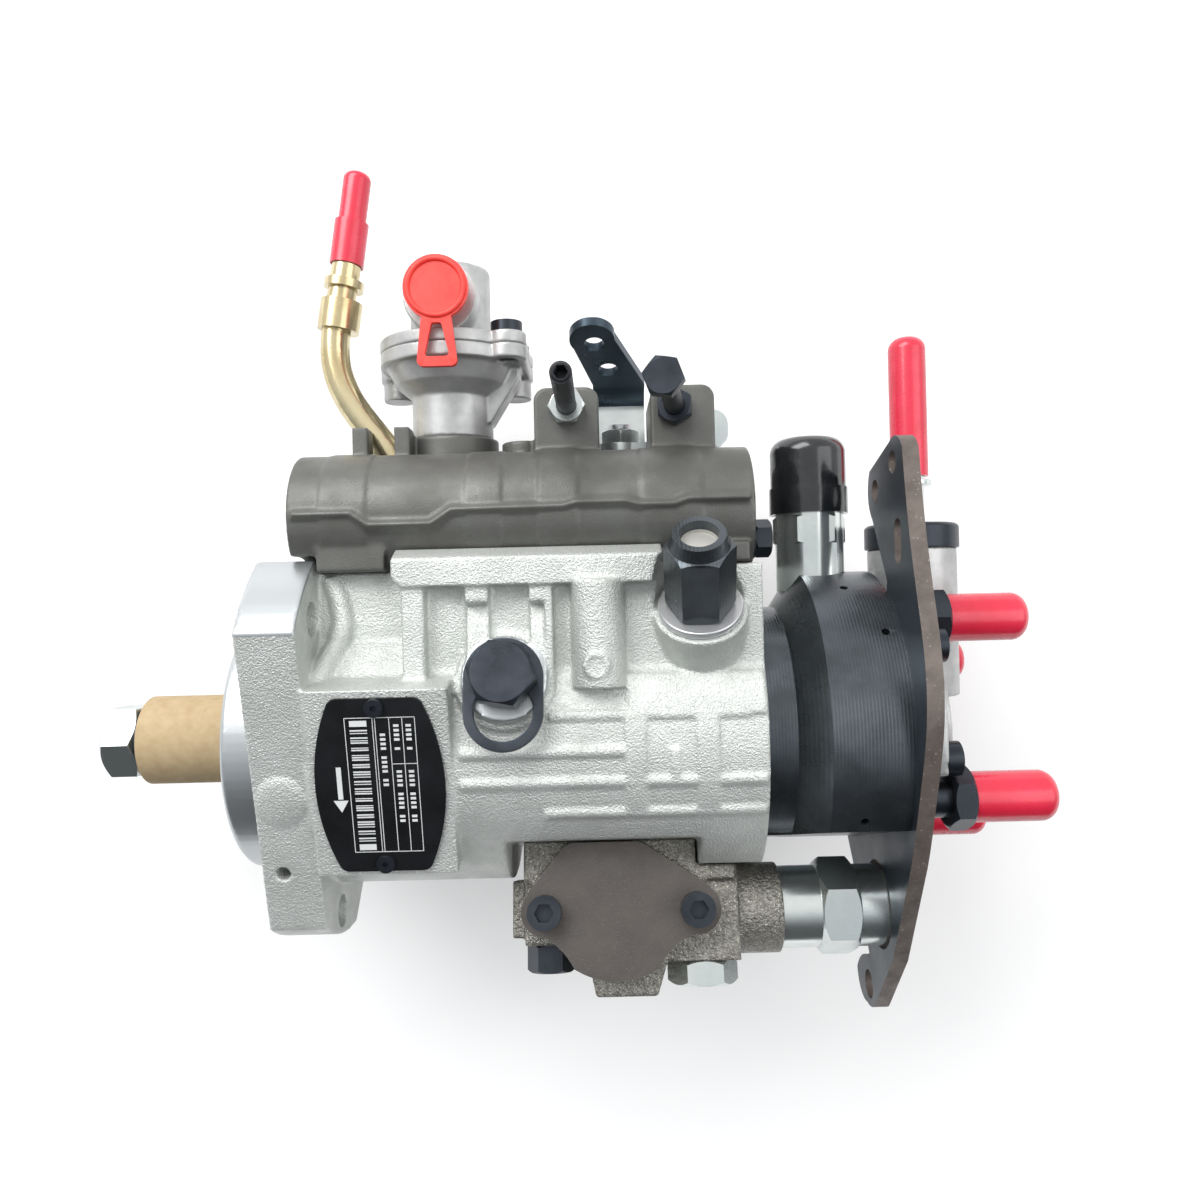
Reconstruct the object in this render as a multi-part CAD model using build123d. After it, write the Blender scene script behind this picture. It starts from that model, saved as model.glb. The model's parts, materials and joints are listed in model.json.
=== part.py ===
"""Rotary diesel injection pump: flange-mounted housing, drive shaft, cam and distributor,
hydraulic head with four capped outlets, control cover with throttle lever and boost capsule.

Frame, in millimetres: the origin is the shaft axis at the mounting face of the flange.
+X runs along the shaft towards the hydraulic head, +Y towards the control cover, and +Z is up
with the pump lying on its back.
"""
from build123d import *
from math import asin, cos, degrees, pi, radians, sin, sqrt, tan
import os

# ---------------------------------------------------------------- fits and clearances
RUN_FIT = 0.05            # radial clearance of a shaft that turns or slides in its bore
THREAD_FIT = 0.06         # radial clearance of a screw in its hole
SEAT_GAP = 0.2            # gap at a seat that moves or is curved
AIR = 1.0                 # free space round a piece that moves

# ---------------------------------------------------------------- mounting flange and spigot
FLANGE_T = 16.8
FLANGE_R = 66.6           # turned ends of the three ears
FLANGE_FLAT = 45.0        # shaft axis to each of the three flat sides
FLANGE_PCD = 110.0
FLANGE_HOLE_R = 5.0
FLANGE_ANGLES = (45.0, 165.0, 285.0)
LOWER_EAR_R = FLANGE_R - 4.6     # the lowest ear is turned down further
TILT = 15.0               # the advance unit and the locking screw stand square to this turn
SPIGOT_R = 41.0
SPIGOT_LEN = 10.8

# ---------------------------------------------------------------- housing
HOUSING_LEN = 147.0  # mounting face to the hydraulic head's seat
BARREL_R = 46.5
CAVITY_R = 33.8
CAVITY_X0 = 24.0
HEAD_BORE_X0 = HOUSING_LEN - 18.0
UNDERSIDE_Y = -35.7       # flat that the advance unit bolts to, in the turned frame
ADVANCE_X = HOUSING_LEN - 44.4       # the advance piston works the cam ring from here
UNDERSIDE_X = (ADVANCE_X - 31.6, ADVANCE_X + 25.4)
END_RING_FLAT_Y = -43.2   # flat under the ring at the head end, in the turned frame
COVER_FACE_Y = 52.4  # flat that the control cover bolts to
TOP_BLOCK_Z = (-38.0, 40.0)
TOP_BLOCK_X0 = 17.5
EAR_CLEAR_Z = 33.4        # the block is this low beside the upper ear, so a bolt can reach its hole
PAD_X = (41.0, 118.0)
PAD_END_R = 4.0            # rounded corner at the rail's left end
PAD_Y = (47.6, 55.5)
PAD_Z = (39.6, 46.0)
PAD_CREST = (58.8, 39.1)  # y and z of the machined crest behind the rail
RIB_X = (46.9, 65.0, 83.2)
RIB_W = 6.6
RIB_Y0 = 16.0
PILLAR_X = HOUSING_LEN - 47.7
PILLAR_R = 7.6
PILLAR_Y0 = 17.8
PILLAR_Z = 43.5
TOP_SLOT_X = (60.0, HOUSING_LEN - 23.0)
TOP_SLOT_Z = 19.0

# ---------------------------------------------------------------- shaft line
JOURNAL_R = 12.5
TAPER_END_R = 8.6
SHAFT_THREAD_R = 7.0
SHAFT_END_X = -60.4
NUT_X0 = -60.8
NUT_H = 11.2
NUT_AF = 22.0
WASHER_T = 0.85
WASHER_R = 11.5
GUARD_R = 14.3
GUARD_WALL = 1.3
SEAL_R = 20.0
SEAL_LEN = 6.0
BUSH_WALL = 3.2
BUSH_LEN = 22.0
CAGE_R = 31.0
CAGE_X = (27.0, 52.0)
CAGE_WALL = 3.0
WEIGHT_COUNT = 6
SLEEVE_R = 15.0
SLEEVE_X0 = 56.0
SLEEVE_LEN = 14.0
MID_SHAFT_R = 9.0
MID_SHAFT_END_X = HOUSING_LEN - 50.0

# ---------------------------------------------------------------- governor arm, metering valve
ARM_PIVOT_Y = 63.0
ARM_T = 3.0
ARM_FORK_Z = 12.0
ARM_PRONG_W = 5.0
ARM_FOOT_Y = 3.0
ARM_PIVOT_R = 3.0
METER_X = HOUSING_LEN - 11.0
METER_R = 3.5
METER_Y = (16.0, 58.0)

# ---------------------------------------------------------------- cam, rotor and plungers
CAM_X = (MID_SHAFT_END_X + 3.0, MID_SHAFT_END_X + 25.0)
CAM_IN_R = 23.6
CAM_VALLEY = 0.8
ROTOR_R = 9.0
ROTOR_HEAD_R = 19.4
PLUNGER_R = 4.0
ROLLER_R = 3.4
ROLLER_CENTRE_R = 19.9
SHOE_W = 9.0
CAM_PIN_R = 5.0
CAM_PIN_STEM_R = 2.8

# ---------------------------------------------------------------- hydraulic head
SPIGOT_HEAD_R = 36.5
NECK_R = 39.0
NECK_LEN = 9.4
CONE_LEN = 7.4
DRUM_R = 50.0
DRUM_END_X = HOUSING_LEN + 40.0
ROTOR_END_X = DRUM_END_X + 9.0
HEAD_FACET = 35.5         # milled facet on the underside: distance from the shaft axis
PIN_HOLE_R = 1.2
PIN_HOLE_DEPTH = 3.5
PIN_HOLES = ((DRUM_END_X - 12.3, 27.0), (DRUM_END_X - 4.6, 51.0), (DRUM_END_X - 13.6, 116.0))

# ---------------------------------------------------------------- outlets
OUTLET_R = 38.8
OUTLET_ANGLES = (27.2, 117.2, 207.2, 297.2)
OUTLET_STEM_R = 5.8
OUTLET_DEPTH = 16.0
OUTLET_HEX_AF = 17.0
OUTLET_HEX_X = (DRUM_END_X + 12.9, DRUM_END_X + 19.6)
OUTLET_TIP_R = 5.2
OUTLET_TIP_LEN = 14.0
OUTLET_BORE_R = 3.2
CAP_R = 7.4
CAP_LEN = 25.0
CAP_WALL = 1.4
VALVE_LEN = 14.0

# ---------------------------------------------------------------- support plate
PLATE_T = 4.8
PLATE_BORE_R = 16.0
PLATE_HOLE_GAP = 1.2
PLATE_TOP_HOLES = ((81.2, 33.5), (74.9, 15.5))
PLATE_HOLE_R = 3.3
PLATE_SLOT = (57.8, 37.0, 7.2, 3.0)      # y, z, length, half width
PLATE_EAR_HOLE = (-88.0, -4.5)
PLATE_EAR_HOLE_R = 4.6
M6_R = 3.0
M6_HEAD_R = 5.0
M6_HEAD_H = 6.0
M6_KEY_AF = 5.0

# ---------------------------------------------------------------- transfer pump and inlet
END_FLANGE_R = 46.0
END_FLANGE_T = 5.6
END_FLANGE_HALF = 21.9
END_BODY_R = 26.0
END_BODY_T = 14.0
END_HEAD_H = 4.4
END_SCREW_ANGLES = (49.4, 97.4, 229.4, 277.4)
PUMP_BORE_R = 15.0
PUMP_BORE_DEPTH = 12.0
PUMP_ROTOR_R = 12.4
PUMP_OFFSET = 1.4
END_SCREW_R = 41.0
INLET_Z = -10.0
INLET_BACK_CUT = 0.6      # the inlet's boss stands clear of the bracket plate by this
INLET_R = 14.5
INLET_TOP_Y = 65.2
INLET_RING_R = 15.4
INLET_RING_Y = (57.4, 65.6)
INLET_STUB_R = 4.6
INLET_STUB_TOP_Y = 100.0
INLET_CAP_R = 6.15
INLET_CAP_Y = (82.0, 129.3)
INLET_COLLAR_R = 7.0

# ---------------------------------------------------------------- control cover
COVER_X = (10.2, HOUSING_LEN - 1.5)
COVER_TUBE_Y = 68.5
COVER_TUBE_Z = 21.0
COVER_TUBE_R = 20.0
COVER_TOP_Y = 87.0
COVER_BACK_Z = -38.0
COVER_WALL = 5.0
COVER_FLANGE_CLEAR_Y = 57.4
COVER_SKIRT_X = (18.2, 38.0)
COVER_SKIRT_Z = 39.4
POST_TOP_Y = 108.2
POST_Z = (-5.0, 22.0)
LEFT_POST_X = (81.0, 101.0)
RIGHT_POST_X = (116.8, 136.6)
LUG_X = (26.5, 39.6)
LUG_TOP_Y = 98.0
LUG_Z = (10.5, 18.0)
END_PLUG_YZ = (60.0, 27.0)
END_PLUG_AF = 10.0

# ---------------------------------------------------------------- stop screws
STOP_Y = 101.8
LEFT_STOP_X = 91.2
RIGHT_STOP_X = 124.6      # where the leaning screw leaves the post's front face
RIGHT_STOP_LEAN = 8.8
RIGHT_STOP_Y = 100.8
LEFT_STOP_TOP_Z = 68.0
RIGHT_STOP_TOP_Z = 66.0
STOP_TIP_Z = -9.0
LOCKNUT_AF = 10.0
LOCKNUT_H = 5.0
BOLT_HEAD_AF = 10.0
BOLT_HEAD_H = 4.2

# ---------------------------------------------------------------- throttle lever
THROTTLE_X = 108.5
THROTTLE_Z = -20.0
THROTTLE_SHAFT_R = 4.0
LEVER_T = 2.5
TAB_END_X = 145.0
TAB_H = 13.0
LEVER_Y0 = 93.5
LEVER_TRAVEL = 28.0
ARM_WIDTH = 18.4
ARM_BEND_R = 10.0
ARM_BACK_Z = -33.0
ARM_KNEE_Y = 120.5
ARM_RISE = 21.0
ARM_LEN = 36.0
ARM_TIP_R = 7.5
ARM_SHIFT = 9.1           # how far the tip lies towards -X from the lever's shaft
ARM_TIP_Z = -0.5
ARM_HOLES = ((-8.4, -2.6), (-3.7, -16.3))    # from the lever's shaft in x, and z
ARM_HOLE_R = 3.4
LEVER_NUT_AF = 13.0
LEVER_NUT_H = 5.5

# ---------------------------------------------------------------- boost capsule
BOOST_X = 53.0
BOOST_Z = 0.0
BOOST_COLLAR_R = 14.8
BOOST_COLLAR_Y = 96.0
BOOST_NECK_R = 13.1
BOOST_BOWL_Y = 110.5
BOOST_BOWL_R = 21.0
BOOST_FLANGE_R = 23.0
BOOST_FLANGE_Y0 = 118.9
BOOST_PART_Y = 123.5
BOOST_FLANGE_Y1 = 127.5
BOOST_DOME_R = 13.1
BOOST_TOP_Y = 151.2
BOOST_PORT_X = 52.4
BOOST_PORT_Y = 138.6
BOOST_PORT_R = 10.0
BOOST_PORT_Z = 18.0
BOOST_EARS = ((72.5, 13.0), (72.5, -16.0), (32.5, -15.5))
BOOST_EAR_LOBE_R = 6.2
BOOST_BOSS_R = 5.4
BOOST_BOSS_Y = 112.5
BOOST_WEB_T = 11.0
BOOST_STROKE = 4.0
BOOST_ROD_R = 4.0
DIAPHRAGM_R = 17.0
PLUG_R = 9.9
PLUG_T = 2.0
PLUG_Z = 24.2
PLUG_TAB_W = 12.6
PLUG_TAB_LEN = 24.0

# ---------------------------------------------------------------- return tube
TUBE_R = 4.65
TUBE_BORE_R = 2.4
TUBE_Z = 5.0
TUBE_PATH = ((35.5, 88.5), (28.4, 97.8), (20.5, 108.9), (16.4, 119.9), (17.0, 135.8), (20.3, 153.1))
TUBE_NOSE_R = 3.5
TUBE_NOSE_WALL = 1.0
TUBE_NOSE_LEN = 18.0
TUBE_CAP_LEN = 30.2
TUBE_CAP_SLEEVE_LEN = 14.0
TUBE_CAP_R = 5.4
TUBE_CAP_NOSE_R = 4.4

# ---------------------------------------------------------------- stop solenoid
SOLENOID_X = HOUSING_LEN + 22.5
SOLENOID_SEAT_Y = DRUM_R - 6.0
SOLENOID_BODY_R = 11.0
SOLENOID_HEX_AF = 20.6
SOLENOID_HEX_Y = (SOLENOID_SEAT_Y + 14.5, SOLENOID_SEAT_Y + 25.0)
SOLENOID_TOP_Y = SOLENOID_SEAT_Y + 46.0
SOLENOID_CAP_R = 12.2
SOLENOID_BEAD = 0.5       # rolled band round the cap's mouth
SOLENOID_BEAD_H = 8.5
SOLENOID_CAP_TOP_Y = SOLENOID_SEAT_Y + 50.0
SOLENOID_THREAD_R = 9.0
SOLENOID_THREAD_LEN = 14.0
STOP_PLUNGER_R = 4.0
STOP_STROKE = 1.5

# ---------------------------------------------------------------- advance unit
ADVANCE_Y = -57.4
PISTON_R = 12.0
ADVANCE_Z = (-60.0, 15.2)
ADVANCE_WALL_R = 15.5
ADVANCE_COVER_T = 3.1
ADVANCE_TRAVEL_DEG = 9.0
PISTON_Z = (-24.0, 12.6)
ADVANCE_SCREW_X = (ADVANCE_X - 21.1, ADVANCE_X + 24.0)
ADVANCE_SCREW_Y = -56.1
ADVANCE_LOBE_R = 7.2
ADVANCE_COVER_TOP_X = (ADVANCE_X - 14.3, ADVANCE_X + 7.8)
ADVANCE_CORNER_R = 4.5
ADVANCE_FOOT = (12.6, 14.8)    # corners of the cover's foot, from the piston's axis
ADVANCE_WAIST = (16.2, 9.7)
ADVANCE_FOOT_R = 18.4
ADVANCE_LUG_X0 = ADVANCE_X - 32.0
COLD_Y = -57.3
COLD_Z = -6.5
COLD_BOSS_R = 13.9
COLD_BOSS_X1 = ADVANCE_X + 51.9
COLD_R = 12.6
COLD_HEX_AF = 26.5
COLD_HEX_X = (DRUM_END_X - 20.6, DRUM_END_X - 8.4)
COLD_END_X = DRUM_END_X + 6.0
ADVANCE_NUT_X = ADVANCE_X - 20.4
ADVANCE_NUT_AF = 13.0
ADVANCE_NUT_Y = (-74.9, -66.5)
LOCATING_X = ADVANCE_X + 26.4
LOCATING_AF = 18.8
LOCATING_HEX_Y = (-79.0, -71.6)
ADVANCE_SCREW_LEN = 11.0
ADVANCE_STUD_Z = -2.0
ADVANCE_STUD_TOP = -28.0
ADVANCE_TOP_X = (ADVANCE_X - 27.9, ADVANCE_X + 36.4)
LOCATING_TIP_Y = -38.0

# ---------------------------------------------------------------- nameplate, locking screw, sleeve
NAMEPLATE_W = 36.5
NAMEPLATE_H = 52.0
NAMEPLATE_T = 0.8
NAMEPLATE_CORNER_R = 3.0
NAMEPLATE_CENTRE = (37.2, -8.0, BARREL_R)
NAMEPLATE_TILT = 13.0
RIVET_R = 2.6
LOCK_X = 72.5             # locking screw and its spacer, in the turned frame
LOCK_Y = 8.4
LOCK_FACE_Z = BARREL_R + 4.3
LOCK_BOSS_R = 12.3
LOCK_HEAD_AF = 17.0
LOCK_HEAD_H = 7.5
LOCK_SHANK_R = 5.0
SPACER_T = 2.4
SPACER_R = 11.2
SPACER_TRAVEL = 9.6
SPACER_HOLE_R = 8.3
SLEEVE_BASE = (HOUSING_LEN - 18.2, 39.2, 40.9)
SLEEVE_AXIS = (-0.07, 0.72, 0.69)
SLEEVE_AF = 17.4
SLEEVE_HEX_LEN = 22.5
SLEEVE_NOSE_R = (8.8, 7.3)   # cone above the hexagon
SLEEVE_NOSE_LEN = 3.5
SLEEVE_CUP_R = 5.4
SLEEVE_CUP_DEPTH = 7.0
PLUG_CUP_H = 4.0
CRUSH_R = 12.2
CRUSH_T = 2.4


# ================================================================ small helpers
def plane_x(x, y=0.0, z=0.0):
    """Sketch plane across the shaft: sketch axes are Y and Z, and it extrudes along +X."""
    return Plane(origin=(x, y, z), x_dir=(0, 1, 0), z_dir=(1, 0, 0))


def plane_y(y, x=0.0, z=0.0):
    """Sketch plane across Y: sketch axes are Z and X, and it extrudes along +Y."""
    return Plane(origin=(x, y, z), x_dir=(0, 0, 1), z_dir=(0, 1, 0))


def plane_z(z, x=0.0, y=0.0):
    """Sketch plane across Z: sketch axes are X and Y, and it extrudes along +Z."""
    return Plane(origin=(x, y, z), x_dir=(1, 0, 0), z_dir=(0, 0, 1))


def prism(plane, sketch, length):
    return extrude(plane * sketch, amount=length)


def cyl_x(r, x0, x1, y=0.0, z=0.0):
    return prism(plane_x(x0, y, z), Circle(r), x1 - x0)


def cyl_y(r, y0, y1, x=0.0, z=0.0):
    return prism(plane_y(y0, x, z), Circle(r), y1 - y0)


def cyl_z(r, z0, z1, x=0.0, y=0.0):
    return prism(plane_z(z0, x, y), Circle(r), z1 - z0)


def hex_sketch(across_flats, turn=0.0):
    return Rot(0, 0, turn) * RegularPolygon(across_flats / 2, 6, major_radius=False)


def block(x0, x1, y0, y1, z0, z1):
    return Pos((x0 + x1) / 2, (y0 + y1) / 2, (z0 + z1) / 2) * Box(x1 - x0, y1 - y0, z1 - z0)


def turned_x(profile, y=0.0, z=0.0):
    """Solid of revolution about a line along X; profile points are (x, radius)."""
    wire = Polyline([(x, r + y, z) for x, r in profile], close=True)
    return revolve(make_face(wire), Axis((0, y, z), (1, 0, 0)))


def turned_y(profile, x=0.0, z=0.0):
    """Solid of revolution about a line along Y; profile points are (y, radius)."""
    wire = Polyline([(r + x, y, z) for y, r in profile], close=True)
    return revolve(make_face(wire), Axis((x, 0, z), (0, 1, 0)))


def chamfered_hex(plane, across_flats, height, both=True, turn=0.0):
    """Hexagon prism whose corners are turned off at one end or both."""
    corner_r = across_flats / sqrt(3)
    drop = (corner_r - across_flats / 2) * tan(radians(30)) * 1.6
    body = extrude(plane * hex_sketch(across_flats, turn), amount=height)
    foot = corner_r if not both else across_flats / 2 * 0.97
    points = [(0, 0), (foot, 0), (corner_r + 0.1, drop), (corner_r + 0.1, height - drop)]
    points += [(across_flats / 2 * 0.97, height), (0, height)]
    if not both:
        points[1:3] = [(corner_r + 0.1, 0)]
    profile = make_face(Polyline([(r, 0, h) for r, h in points], close=True))
    return body & (plane.location * revolve(profile, Axis.Z))


def spring(axis_plane, radius, wire_r, turns, length):
    """Coil spring drawn as the stack of its turns, each turn a ring joined to the next."""
    pitch = (length - 2 * wire_r) / turns
    path = Helix(pitch=pitch, height=length - 2 * wire_r, radius=radius)
    start = Plane(origin=path @ 0, z_dir=path % 0)
    coil = sweep(start * Circle(wire_r), path=path, is_frenet=True)
    return axis_plane.location * Pos(0, 0, wire_r) * coil


def turned(shape):
    """Carry a shape from the turned frame of the advance unit into the row frame."""
    return Rot(-TILT, 0, 0) * shape


def on_circle(radius, angle):
    """(y, z) of a point at an angle from +Y towards +Z."""
    return radius * cos(radians(angle)), radius * sin(radians(angle))


def group(solids):
    return Compound(children=[s.solid() if isinstance(s, Part) else s for s in solids])


# ================================================================ housing
def flange_sketch():
    """Turned disc cut back by three flats, which leaves the three ears."""
    disc = Circle(FLANGE_R)
    for angle in FLANGE_ANGLES:
        flat = Rot(0, 0, angle + 60.0) * Pos(FLANGE_FLAT + FLANGE_R / 2, 0) * Rectangle(FLANGE_R, 3 * FLANGE_R)
        disc = disc - flat
    lower_end = Circle(FLANGE_R + 2) - Circle(LOWER_EAR_R)
    lower_half = Rot(0, 0, FLANGE_ANGLES[1]) * Pos(FLANGE_R, 0) * Rectangle(FLANGE_R, 2 * FLANGE_R)
    return disc - (lower_end & lower_half)


def nameplate_plane(lift=0.0):
    base = Plane(origin=NAMEPLATE_CENTRE, x_dir=(1, 0, 0),
                 z_dir=(0, -sin(radians(NAMEPLATE_TILT)), cos(radians(NAMEPLATE_TILT))))
    return base.offset(lift)


def sleeve_plane(lift=0.0):
    return Plane(origin=SLEEVE_BASE, x_dir=(1, 0, -SLEEVE_AXIS[0] / SLEEVE_AXIS[2]), z_dir=SLEEVE_AXIS).offset(lift)


def pump_housing():
    body = prism(plane_x(0), flange_sketch(), FLANGE_T)
    body += turned_x([(-SPIGOT_LEN, 0), (-SPIGOT_LEN, SPIGOT_R - 1.2), (-SPIGOT_LEN + 1.2, SPIGOT_R),
                      (0.5, SPIGOT_R), (0.5, 0)])
    barrel = cyl_x(BARREL_R, FLANGE_T - 1, HOUSING_LEN)
    barrel -= turned(block(*UNDERSIDE_X, -BARREL_R - 5, UNDERSIDE_Y, -BARREL_R - 5, BARREL_R + 5))
    barrel -= turned(block(UNDERSIDE_X[1] - 1, HOUSING_LEN + 1, -BARREL_R - 5, END_RING_FLAT_Y,
                           -BARREL_R - 5, BARREL_R + 5))
    barrel += block(TOP_BLOCK_X0, HOUSING_LEN, 10, COVER_FACE_Y, TOP_BLOCK_Z[0], EAR_CLEAR_Z)
    barrel += block(RIB_X[0], HOUSING_LEN, 10, COVER_FACE_Y, EAR_CLEAR_Z - 1, TOP_BLOCK_Z[1])
    barrel += mounting_rail()
    for x in RIB_X:
        barrel += block(x - RIB_W / 2, x + RIB_W / 2, RIB_Y0, PAD_Y[0] + 1, PAD_Z[0] - 10, PAD_Z[1] - 1)
    barrel += cyl_y(PILLAR_R, PILLAR_Y0, PAD_Y[0] + 1, PILLAR_X, PILLAR_Z - 1.5)
    plate_pad = prism(nameplate_plane(-14), Rectangle(NAMEPLATE_W + 4, NAMEPLATE_H + 4), 14)
    barrel += plate_pad
    barrel += turned(cyl_z(LOCK_BOSS_R + 2, 20, LOCK_FACE_Z - 3, LOCK_X, LOCK_Y))
    barrel += turned(cyl_z(LOCK_BOSS_R, 20, LOCK_FACE_Z, LOCK_X, LOCK_Y))
    barrel += prism(sleeve_plane(-22), Circle(CRUSH_R + 1.4), 22)
    barrel += block(FLANGE_T - 1, FLANGE_T + 5, 18, 47, 10, 32)
    barrel -= prism(sleeve_plane(0), Circle(CRUSH_R + 1), 30)
    barrel -= spacer_relief()
    body += barrel
    body -= turned_x([(-SPIGOT_LEN - 1, 0), (-SPIGOT_LEN - 1, SEAL_R), (-SPIGOT_LEN + SEAL_LEN, SEAL_R),
                      (-SPIGOT_LEN + SEAL_LEN, JOURNAL_R + BUSH_WALL), (CAVITY_X0 + 1, JOURNAL_R + BUSH_WALL),
                      (CAVITY_X0 + 1, 0)])
    body -= cyl_x(CAVITY_R, CAVITY_X0, HEAD_BORE_X0 + 1)
    body -= cyl_x(SPIGOT_HEAD_R + THREAD_FIT, HEAD_BORE_X0, HOUSING_LEN + 1)
    body -= block(TOP_SLOT_X[0], TOP_SLOT_X[1], 20, COVER_FACE_Y + 5, -TOP_SLOT_Z, TOP_SLOT_Z)
    body -= cyl_y(METER_R + AIR, 30, COVER_FACE_Y + 5, METER_X, 0)
    pin_sweep = CAM_PIN_R + AIR + abs(UNDERSIDE_Y) * sin(radians(ADVANCE_TRAVEL_DEG))
    body -= turned(block(ADVANCE_X - CAM_PIN_R - AIR, ADVANCE_X + CAM_PIN_R + AIR,
                         UNDERSIDE_Y - 5, -25, -pin_sweep, CAM_PIN_R + AIR))
    for angle in FLANGE_ANGLES:
        y, z = on_circle(FLANGE_PCD / 2, angle)
        body -= cyl_x(FLANGE_HOLE_R, -5, FLANGE_T + 8, y, z)
    body -= turned(cyl_z(LOCK_SHANK_R + THREAD_FIT, 20, LOCK_FACE_Z + 1, LOCK_X, LOCK_Y))
    body -= prism(sleeve_plane(-12), Circle(SLEEVE_CUP_R + THREAD_FIT), 30)
    body -= turned(cyl_y(M6_R + THREAD_FIT, UNDERSIDE_Y - 20, ADVANCE_STUD_TOP, ADVANCE_NUT_X, ADVANCE_STUD_Z))
    body -= turned(cyl_y(M6_R + THREAD_FIT, UNDERSIDE_Y - 20, -30, LOCATING_X, 0))
    for u, v in rivet_places():
        body -= prism(nameplate_plane(-6) * Pos(u, v), Circle(RIVET_R / 2 + THREAD_FIT), 8)
    return body


def spacer_relief():
    """Room over the locking screw's boss for the keyhole spacer all along its travel."""
    reach = SPACER_TRAVEL + SPACER_R + 0.5
    relief = block(LOCK_X - SPACER_R - 0.5, LOCK_X + SPACER_R + 0.5, LOCK_Y - reach, LOCK_Y + reach,
                   LOCK_FACE_Z, LOCK_FACE_Z + 20)
    return turned(relief)


def mounting_rail():
    """Rail under the cover: upright front face, then a machined chamfer rising to the crest."""
    crest_y, crest_z = PAD_CREST
    profile = make_face(Polyline([(PAD_Y[0], PAD_Z[0] - 4), (PAD_Y[0], PAD_Z[1]), (PAD_Y[1], PAD_Z[1]),
                                  (crest_y, crest_z), (COVER_FACE_Y, PAD_Z[0]), (COVER_FACE_Y, PAD_Z[0] - 4)],
                                 close=True))
    rail = extrude(plane_x(PAD_X[0]) * profile, amount=PAD_X[1] - PAD_X[0])
    corner = block(PAD_X[0] - 1, PAD_X[0] + PAD_END_R, PAD_Y[0] - 1, PAD_Y[0] + PAD_END_R,
                   PAD_Z[0] - 5, PAD_Z[1] + 1)
    corner -= cyl_z(PAD_END_R, PAD_Z[0] - 6, PAD_Z[1] + 2, PAD_X[0] + PAD_END_R, PAD_Y[0] + PAD_END_R)
    return rail - corner


def rivet_places():
    return [(0.0, side * (NAMEPLATE_H / 2 - 2.6)) for side in (1, -1)]


def nameplate():
    corner_w = NAMEPLATE_W * 0.68
    half = NAMEPLATE_H / 2
    right = ThreePointArc((corner_w / 2, half), (NAMEPLATE_W / 2, 0), (corner_w / 2, -half))
    left = ThreePointArc((-corner_w / 2, -half), (-NAMEPLATE_W / 2, 0), (-corner_w / 2, half))
    outline = Curve() + [Line((-corner_w / 2, half), (corner_w / 2, half)), right,
                         Line((corner_w / 2, -half), (-corner_w / 2, -half)), left]
    face = make_face(outline)
    face = fillet(face.vertices(), NAMEPLATE_CORNER_R)
    sheet = extrude(nameplate_plane() * face, amount=NAMEPLATE_T)
    for u, v in rivet_places():
        sheet -= prism(nameplate_plane(-1) * Pos(u, v), Circle(RIVET_R / 2 + THREAD_FIT), 3)
    return sheet


def nameplate_rivets():
    rivets = []
    for u, v in rivet_places():
        seat = nameplate_plane(NAMEPLATE_T) * Pos(u, v)
        head = seat * Pos(0, 0, 0.7) * Cylinder(RIVET_R, 1.4)
        shank = seat * Pos(0, 0, -2.5) * Cylinder(RIVET_R / 2, 5)
        rivets.append(head + shank)
    return group(rivets)


# ================================================================ drive end
def drive_shaft():
    hub = CAGE_R
    profile = [(SHAFT_END_X, 0), (SHAFT_END_X, SHAFT_THREAD_R), (NUT_X0 + NUT_H + 2 * WASHER_T, SHAFT_THREAD_R),
               (NUT_X0 + NUT_H + 2 * WASHER_T, TAPER_END_R), (-SPIGOT_LEN - 2, JOURNAL_R),
               (CAVITY_X0 + RUN_FIT, JOURNAL_R), (CAVITY_X0 + RUN_FIT, hub), (CAGE_X[1], hub),
               (CAGE_X[1], hub - CAGE_WALL), (CAGE_X[0] + 2, hub - CAGE_WALL), (CAGE_X[0] + 2, MID_SHAFT_R),
               (MID_SHAFT_END_X, MID_SHAFT_R), (MID_SHAFT_END_X, 0)]
    shaft = turned_x(profile)
    for i in range(WEIGHT_COUNT):
        y, z = on_circle(hub, i * 360.0 / WEIGHT_COUNT)
        shaft -= Rot(i * 360.0 / WEIGHT_COUNT, 0, 0) * block(CAGE_X[0] + 6, CAGE_X[1] - 4,
                                                             hub - 5, hub + 2, -4, 4)
    return shaft


def shaft_nut():
    nut = chamfered_hex(plane_x(NUT_X0), NUT_AF, NUT_H, turn=30)
    return nut - cyl_x(SHAFT_THREAD_R + THREAD_FIT, NUT_X0 - 1, NUT_X0 + NUT_H + 1)


def shaft_washers():
    rings = []
    for i in range(2):
        x0 = NUT_X0 + NUT_H + i * WASHER_T
        rings.append(cyl_x(WASHER_R, x0, x0 + WASHER_T) - cyl_x(SHAFT_THREAD_R + THREAD_FIT, x0 - 1, x0 + 2))
    return group(rings)


def shaft_guard_tube():
    x0 = NUT_X0 + NUT_H + 2 * WASHER_T
    x1 = -SPIGOT_LEN - SEAT_GAP
    return cyl_x(GUARD_R, x0, x1) - cyl_x(GUARD_R - GUARD_WALL, x0 - 1, x1 + 1)


def front_oil_seal():
    seal = cyl_x(SEAL_R, -SPIGOT_LEN, -SPIGOT_LEN + SEAL_LEN)
    seal -= cyl_x(JOURNAL_R + RUN_FIT, -SPIGOT_LEN - 1, -SPIGOT_LEN + SEAL_LEN + 1)
    return seal - (cyl_x(SEAL_R - 2, -SPIGOT_LEN - 1, -SPIGOT_LEN + 1.5)
                   - cyl_x(JOURNAL_R + 2, -SPIGOT_LEN - 1, -SPIGOT_LEN + 1.5))


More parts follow.
